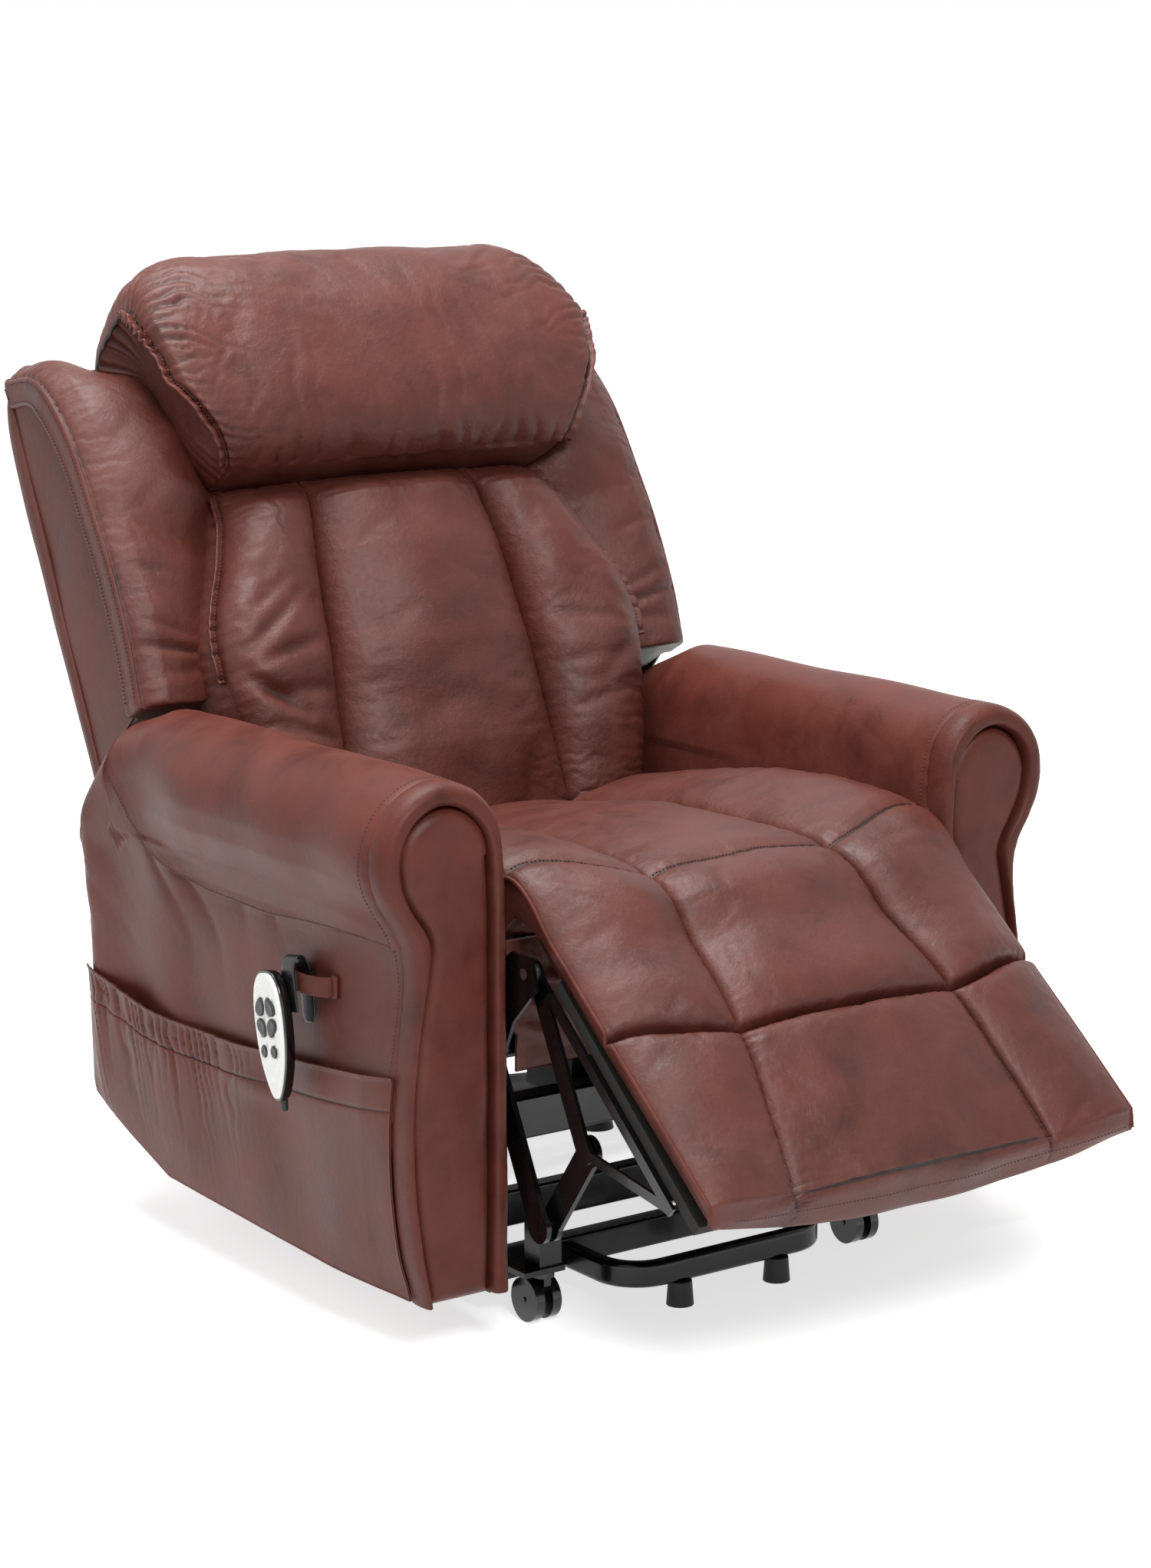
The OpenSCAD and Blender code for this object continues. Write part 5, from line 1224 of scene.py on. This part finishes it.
def addStrap():  # leather loop bowed out from the arm, its front end sewn down under a tab
    p = strap
    k = np.linspace(0, 1, 60)
    s = p["start"] + p["length"] * k
    bow = p["bow"] * np.sin(np.pi * k) ** 0.38
    path = onChair(-(p["arm"] + bow), s, p["height"])
    ring = roundProfile(p["half"], p["thick"] / 2, 16, 5.0)
    up = np.tile([0.0, 0.0, 1.0], (60, 1))
    obj = addTube("strapLoop", sweep(path, ring[:, ::-1], up), hideBorder, "chassis")
    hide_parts("strap_loop")
    for dz in (-0.0078, 0.0078):
        outw = unit(np.cross(np.gradient(path, axis=0), up))
        outw = outw * np.sign(-outw[:, :1])
        stitch("chassis", (path + outw * 0.0017 + np.array([0, 0, dz]))[3:-3], outw[3:-3], *p["thread"])
    tabPath = onChair(np.linspace(-0.4072, -0.4090, 10), np.linspace(0.1440, 0.1515, 10), p["height"])
    tab = addTube("strapTab",
                  sweep(tabPath, roundProfile(0.0125, 0.0017, 16, 5.0)[:, ::-1],
                        np.tile([0, 0, 1.0], (10, 1))), hideBorder, "chassis")
    stitch("chassis", onChair(np.full(20, -0.4104), 0.1480, np.linspace(0.365, 0.385, 20)),
           np.tile([-1.0, 0, 0], (20, 1)), *p["thread"])


addStrap()

# handset, in the strap by its clip; rings give depth and inset, or for a key its share and depth
tilt = math.radians(9.5)
handset = {"x": -0.4332, "s": 0.212, "z": 0.316, "length": 0.138, "width": 0.062, "faceStart": 0.0128,
           "faceDepth": 0.0057, "wellGap": 0.0004, "ringMiddle": 0.020, "ringRadius": 0.0140,
           "ringHalf": 0.0078, "ringSpan": 37, "ringSeat": 0.0138, "smallKey": (0.0056, 0.0062),
           "halfWidth": ((-1, 0.42), (-0.93, 0.50), (-0.72, 0.66), (-0.45, 0.83), (-0.1, 0.94),
                         (0.4, 1.0), (0.8, 1.0), (1, 0.9)),
           "shellRings": ((0.0004, 0.018), (0.0004, 0.0085), (0.0010, 0.0050), (0.0028, 0.0022),
                          (0.0058, 0.0005), (0.0090, 0.0), (0.0135, 0.0), (0.0146, 0.0004),
                          (0.0150, 0.0012), (0.0146, 0.0022), (0.0120, 0.0026)),
           "faceRings": ((0.0, 0.0026), (0.0024, 0.0024), (0.0036, 0.0030), (0.0045, 0.0048),
                         (0.0052, 0.0085), (0.0057, 0.0150), (0.0059, 0.024)),
           "keyRings": ((1.0, -0.002), (1.0, 0.0006), (0.95, 0.0012), (0.8, 0.0016), (0.5, 0.0014),
                        (0.15, 0.0012)),
           "taper": (1.15, 1.15, 1.1, 1.05, 0.92, 1.0, 0.88, 0.97, 0.84, 0.92, 0.80, 0.86, 0.76, 0.7)}


def onHandset(x, y, z):  # y rearwards and z up along the handset, which leans back by the tilt
    return onChair(x, handset["s"] + y * math.cos(tilt) + z * math.sin(tilt),
                   handset["z"] - y * math.sin(tilt) + z * math.cos(tilt))


def addClip():  # sprung band: tongue inside the strap, bow over its top, leg down behind the handset
    side = ((-0.4128, 0.010), (-0.4120, 0.030), (-0.4118, 0.050), (-0.4128, 0.066), (-0.4168, 0.0775),
            (-0.4228, 0.0815), (-0.4290, 0.0775), (-0.4325, 0.066), (-0.4328, 0.050), (-0.4328, 0.024))
    line = evenly(curveThrough(side, 300), 90)
    path = onHandset(line[:, 0], -0.0225, line[:, 1])
    t = unit(np.gradient(path, axis=0))
    wide = unit(onHandset(0, 1.0, 0) - onHandset(0, 0, 0))
    half = 0.0128 * np.clip((np.arange(90) + 1.5) / 7, 0.35, 1) ** 0.5  # the tongue's end is rounded
    ring = roundProfile(1.0, 0.0012, 20, 5.0)
    grid = (path[:, None] + wide * (ring[None, :, :1] * half[:, None, None])
            + np.cross(t, wide)[:, None] * ring[None, :, 1:2])
    obj = addTube("handsetClip", grid, clipBlack, "handset")
    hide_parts("handset_clip")


addClip()


# long rounded head, sides drawn in towards a narrow foot: half width as a function of height
def handsetOutline(count, inset=0.0):
    k = np.linspace(0, 2 * np.pi, count, endpoint=False)
    z = np.sign(np.cos(k)) * np.abs(np.cos(k)) ** 0.8
    fine = np.linspace(-1, 1, 200)
    table = np.array(handset["halfWidth"])
    smooth = np.convolve(np.pad(np.interp(fine, *table.T), 12, "edge"), np.ones(25) / 25, "valid")
    across = (np.sign(np.sin(k)) * np.abs(np.sin(k)) ** 0.62 * np.interp(z, fine, smooth)
              * (handset["width"] / 2 - inset))
    return across, z * (handset["length"] / 2 - inset)


# rings of the outline, drawn in as they near the shell's back and the face; keys stand in wells cut
# in the face
def addHandset():
    h = handset

    def ringAt(x, inset):  # the outline at depth x, drawn in by inset
        y, z = handsetOutline(110, inset)
        return onHandset(h["x"] - x, y, z)
    shellRings = np.array([ringAt(x, i) for x, i in h["shellRings"]])
    shellObj = addTube("handsetShell", shellRings, shellBlack, "handset")
    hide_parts("handset_shell")
    path = onHandset(np.full(14, h["x"] - 0.0075), 0.0, np.linspace(-0.0630, -0.0800, 14))
    taper = np.array(h["taper"])  # ribs of the gland, thinner towards its end
    gland = sweep(path, roundProfile(1, 1, 18) * 0.0044, np.tile([0, 1.0, 0], (14, 1)))
    centre = gland.mean(1, keepdims=True)
    glandObj = addTube("cordGland", centre + (gland - centre) * taper[:, None, None], rubber, "handset")
    f0 = h["faceStart"]
    faceRings = np.array([ringAt(f0 + x, i) for x, i in h["faceRings"]])
    faceObj = addTube("handsetFace", faceRings, faceWhite, "handset")
    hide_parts("handset_face")
    faceX = h["x"] - f0 - h["faceDepth"]
    wells = []
    places = {"button_back_up": (0.0, 135), "button_back_down": (0.0, 225), "button_leg_up": (0.0, 45),
              "button_leg_down": (0.0, 315), "button_lift": (0.0098, -0.0160),
              "button_lower": (-0.0098, -0.0160)}
    for node, at in places.items():
        k = np.linspace(0, 2 * np.pi, 44, endpoint=False)
        if at[0] == 0.0:  # quarter of a ring about the four keys' middle: radius and bearing swing together
            swing = (math.radians(at[1])
                     + math.radians(h["ringSpan"]) * np.sign(np.cos(k)) * np.abs(np.cos(k)) ** 0.7)
            radius = h["ringRadius"] + h["ringHalf"] * np.sign(np.sin(k)) * np.abs(np.sin(k)) ** 0.8
            y, z = -radius * np.cos(swing) * 0.98, h["ringMiddle"] + radius * np.sin(swing) * 1.04
            bearing = math.radians(at[1])
            cy, cz = -h["ringSeat"] * math.cos(bearing), h["ringMiddle"] + h["ringSeat"] * math.sin(bearing)
        else:
            cy, cz = at
            y, z = cy + h["smallKey"][0] * np.cos(k), cz + h["smallKey"][1] * np.sin(k)
        rings = np.array([onHandset(faceX - x, cy + (y - cy) * size, cz + (z - cz) * size)
                          for size, x in h["keyRings"]])
        key = addTube(node.replace("button_", "key_"), rings, keyBlack, node + "_key")
        wide = 1 + h["wellGap"] / 0.0045
        wells.append(np.array([onHandset(faceX - x, cy + (y - cy) * wide, cz + (z - cz) * wide)
                               for x in (-0.0037, 0.0040)]))
        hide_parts(node)
    for well in wells:  # each key sinks into a well that is 0.4 mm wider all round
        cutter = addTube("well", well, keyBlack, None)
        cut = faceObj.modifiers.new("Well", "BOOLEAN")
        cut.object, cut.operation, cut.solver = cutter, "DIFFERENCE", "EXACT"
        mesh = bpy.data.meshes.new_from_object(faceObj.evaluated_get(bpy.context.evaluated_depsgraph_get()))
        faceObj.modifiers.clear()
        faceObj.data = mesh
        bpy.data.objects.remove(cutter)


addHandset()
print("pocket, strap, clip and handset made")

# cloth, then stitching on the settled surfaces
runCloth()

# bends per metre for the painted fold shade: flatter ones keep the hide's colour, hollows get painted
# shade and ridges a painted highlight as they near the others
foldShading = {"flat": 22, "hollow": 55, "ridge": 160, "ridgeShare": 0.16}


# mean curvature at each vertex: how far its neighbours rise above its tangent plane, over their
# distance squared
def markFoldShading(obj):
    mesh = obj.data
    co, nr = np.empty(len(mesh.vertices) * 3), np.empty(len(mesh.vertices) * 3)
    mesh.vertices.foreach_get("co", co)
    mesh.vertex_normals.foreach_get("vector", nr)
    co, nr = co.reshape(-1, 3), nr.reshape(-1, 3)
    ends = np.empty(len(mesh.edges) * 2, int)
    mesh.edges.foreach_get("vertices", ends)
    a, b = ends.reshape(-1, 2).T
    d = co[b] - co[a]
    far = np.maximum((d ** 2).sum(1), 1e-8)
    count = np.bincount(a, minlength=len(co)) + np.bincount(b, minlength=len(co))
    total = (np.bincount(a, (d * nr[a]).sum(1) / far, len(co))
             - np.bincount(b, (d * nr[b]).sum(1) / far, len(co)))
    bend = -2 * total / np.maximum(count, 1)
    for _ in range(2):
        around = np.bincount(a, bend[b], len(co)) + np.bincount(b, bend[a], len(co))
        bend = 0.4 * bend + 0.6 * around / np.maximum(count, 1)
    bend = np.sign(bend) * np.maximum(np.abs(bend) - foldShading["flat"], 0)  # broad swells keep their colour
    relief = np.where(bend < 0, np.tanh(bend / foldShading["hollow"]),
                      foldShading["ridgeShare"] * np.tanh(bend / foldShading["ridge"]))
    mesh.attributes.new("relief", "FLOAT", "POINT").data.foreach_set("value", relief)


def pointsOf(obj, shape):  # the settled points, back in their grid
    co = np.empty(len(obj.data.vertices) * 3)
    obj.data.vertices.foreach_get("co", co)
    return co.reshape(-1, 3)[:shape[0] * shape[1]].reshape(*shape[:2], 3)


# threads along the seat seam, the hem and one channel, and piping down the leg rest's edges
def stitchChaise():
    grid = pointsOf(chaisePad, chaiseShape)
    top = grid[:, :len(chaiseT)]
    n = gridNormals(top)
    n = n * np.sign(n[len(n) // 2, 60, 2])
    j = np.argmin(np.abs(chaiseT - 1.0))
    rows = np.arange(4, len(chaiseQ) - 4)
    beside = np.full(len(rows), j - 1.6)
    stitch("chaise", onGrid(top, rows, beside), onGrid(n, rows, beside))
    hem = np.interp(3.36, chaiseT, np.arange(len(chaiseT)))
    rows = np.arange(12, len(chaiseQ) - 6)
    stitch("chaise", onGrid(top, rows, np.full(len(rows), hem)), onGrid(n, rows, np.full(len(rows), hem)))
    rightValley = np.argmin(np.abs(chaiseQ - 1.0))
    cols = np.arange(np.argmin(np.abs(chaiseT - 2.05)), np.argmin(np.abs(chaiseT - 3.3)))
    stitch("chaise", onGrid(top, np.full(len(cols), rightValley - 1.3), cols),
           onGrid(n, np.full(len(cols), rightValley - 1.3), cols))
    # piping down either edge of the leg rest
    from0, to1 = np.argmin(np.abs(chaiseT - 0.9)), len(chaiseT) - 4
    pipes = []
    for row, name in ((0, "pipingLeft"), (len(chaiseQ) - 1, "pipingRight")):
        path = evenly(top[row, from0:to1], 150)
        pipe = addTube(name,
                       sweep(path, roundProfile(0.0024, 0.0024, 10), np.tile([1.0, 0, 0], (150, 1))),
                       hideBorder)
        pipes.append(pipe)
    threads = addStitches("chaiseStitching", "chaise", thread)
    start = tuple(onChair(0.0, 0.035, 0.47))
    end = tuple(onChair(0.0, -0.080, 0.415))
    for obj in [chaisePad, threads] + pipes:
        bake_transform(obj)


stitchChaise()


# folded seam allowance: a thin flat strip that stands away from the seam
def flangeAlong(name, path, away, out, wide, thick, body):
    k = roundProfile(wide / 2, thick / 2, 14, 4.0)
    centre = path + away * wide * 0.5
    grid = centre[:, None] + away[:, None] * k[None, :, :1] + out[:, None] * k[None, :, 1:2]
    return addTube(name, grid, hideMain, body)


def trimPillow():  # seam allowance and threads round the front of either end seam
    grid = pointsOf(headPillow, pillowRings.shape)
    cols = np.arange(0, 100)
    for sign, word in ((-1, "Left"), (1, "Right")):
        row = np.argmin(np.abs(pillowQ - sign))
        path = grid[row, cols]
        centre = grid[row].mean(0)
        outward = unit(path - centre)
        away = unit(outward * 0.55 + np.array([sign * 0.85, 0, 0]))
        out = unit(np.cross(away, np.gradient(path, axis=0)))
        wave = 0.0014 * waves(np.linspace(0, 0.4, 100)[:, None], 0, 0.05, 151)
        strip = flangeAlong("pillowFlange" + word, path - outward * 0.002 + out * wave, away, out,
                            0.013, 0.0034, "back")
        face = out * np.sign((out * outward).sum(1, keepdims=True).mean())
        stitch("back", path + away * 0.0035 + face * 0.0018 + out * wave, face)


trimPillow()


def trimLumbar():  # seam allowance and threads down either side
    grid = pointsOf(lumbarCushion, lumbarShape)
    n = len(lumbarQ)
    rows = np.arange(4, 4 + len(lumbarW))
    for sign, col, word in ((-1, 0, "Left"), (1, n - 1, "Right")):
        path = grid[rows][:, col]
        pick = (lumbarW > 0.285) & (lumbarW < 0.515)
        path = evenly(path[pick], 110)
        away = np.tile(unit(np.array([sign * 0.9, -0.35, 0.1])), (110, 1))
        out = unit(np.cross(away, np.gradient(path, axis=0)))
        out = out * np.sign(-out[:, 1:2])
        strip = flangeAlong("lumbarFlange" + word, path, away, out, 0.012, 0.0032, "back")
        stitch("back", path + away * 0.005 + out * 0.0018, out)


trimLumbar()
# every leather piece but the arms stores its bends, which drive the painted shade and painted highlight
for obj in bpy.context.scene.objects:
    inLeather = (obj.type == "MESH" and obj.data.materials
                 and obj.data.materials[0] in (hideMain, hideSide, hideBorder))
    if inLeather and obj.name not in ("armLeft", "armRight"):  # the hide is drawn flat over the arms
        markFoldShading(obj)
for body in list(stitchRows):
    threads = addStitches(body + "Stitching", body, thread)
print("stitching made")

# floor and light
floorHalf = 14


# the floor and the world show white to the eye and in gloss, while the lamps alone set how much
# light falls on the chair
def addStage():
    mesh = bpy.data.meshes.new("floor")
    h = floorHalf
    mesh.from_pydata([(-h, -h, 0), (h, -h, 0), (h, h, 0), (-h, h, 0)], [], [(0, 1, 2, 3)])
    floor = bpy.data.objects.new("floor", mesh)
    bpy.context.scene.collection.objects.link(floor)
    material, tree, shader, place = newMaterial("White studio floor", {  # matt white, no highlights
        "Roughness": 0.85, "Base Color": (0.88, 0.88, 0.88, 1), "Specular IOR Level": 0.1})
    mesh.materials.append(material)
    world = bpy.data.worlds.new("Studio")
    bpy.context.scene.world = world
    world.use_nodes = True
    for t, where in ((tree, "floor"), (world.node_tree, "world")):
        path = addNode(t, "ShaderNodeLightPath")
        eye = addNode(t, "ShaderNodeMath", {"operation": "MAXIMUM"},
                      {0: path.outputs["Is Camera Ray"], 1: path.outputs["Is Transmission Ray"]})
        seen = addNode(t, "ShaderNodeMath", {"operation": "MAXIMUM"},
                       {0: eye.outputs[0], 1: path.outputs["Is Glossy Ray"]}).outputs[0]
        if where == "world":
            strength = addNode(t, "ShaderNodeMapRange", {"To Min": 0.13, "To Max": 1.0},
                               {"Value": seen}).outputs[0]
            t.links.new(strength, t.nodes["Background"].inputs["Strength"])
            t.nodes["Background"].inputs["Color"].default_value = (1, 1, 1, 1)
        else:
            far = addNode(t, "ShaderNodeVectorMath", {"operation": "LENGTH"}, {0: place}).outputs["Value"]
            glow = addNode(t, "ShaderNodeMapRange",
                           {"From Min": 0.7, "From Max": 2.4, "To Min": 0.70, "To Max": 1.0},
                           {"Value": far}).outputs[0]
            amount = addNode(t, "ShaderNodeMath", {"operation": "MULTIPLY"}, {0: seen, 1: glow}).outputs[0]
            lit = addNode(t, "ShaderNodeEmission", None, {"Strength": amount})
            both = addNode(t, "ShaderNodeAddShader", None, {0: shader.outputs[0], 1: lit.outputs[0]})
            t.links.new(both.outputs[0], t.nodes["Material Output"].inputs["Surface"])


# place, point lit, size and watts
lamps = {"top": ((-0.3, 0.3, 3.2), (0, 0.1, 0.4), (1.8, 1.5), 100),
         "side": ((-3.0, 0.2, 2.3), (0, 0, 0.5), (1.2, 1.6), 16),
         "key": ((-1.3, -3.2, 2.9), (0, 0, 0.5), (1.1, 1.1), 96)}


def addLamp(name, place, aim, size, power):  # rectangular lamp at its place, turned to the point lit
    data = bpy.data.lights.new(name, "AREA")
    data.shape = "RECTANGLE"
    data.size, data.size_y = size
    data.energy = power
    obj = bpy.data.objects.new(name, data)
    obj.location = place
    obj.rotation_euler = (Vector(aim) - Vector(place)).to_track_quat("-Z", "Y").to_euler()
    bpy.context.scene.collection.objects.link(obj)


addStage()
for name, lamp in lamps.items():
    addLamp(name, *lamp)
bpy.context.scene.view_settings.view_transform = "Standard"
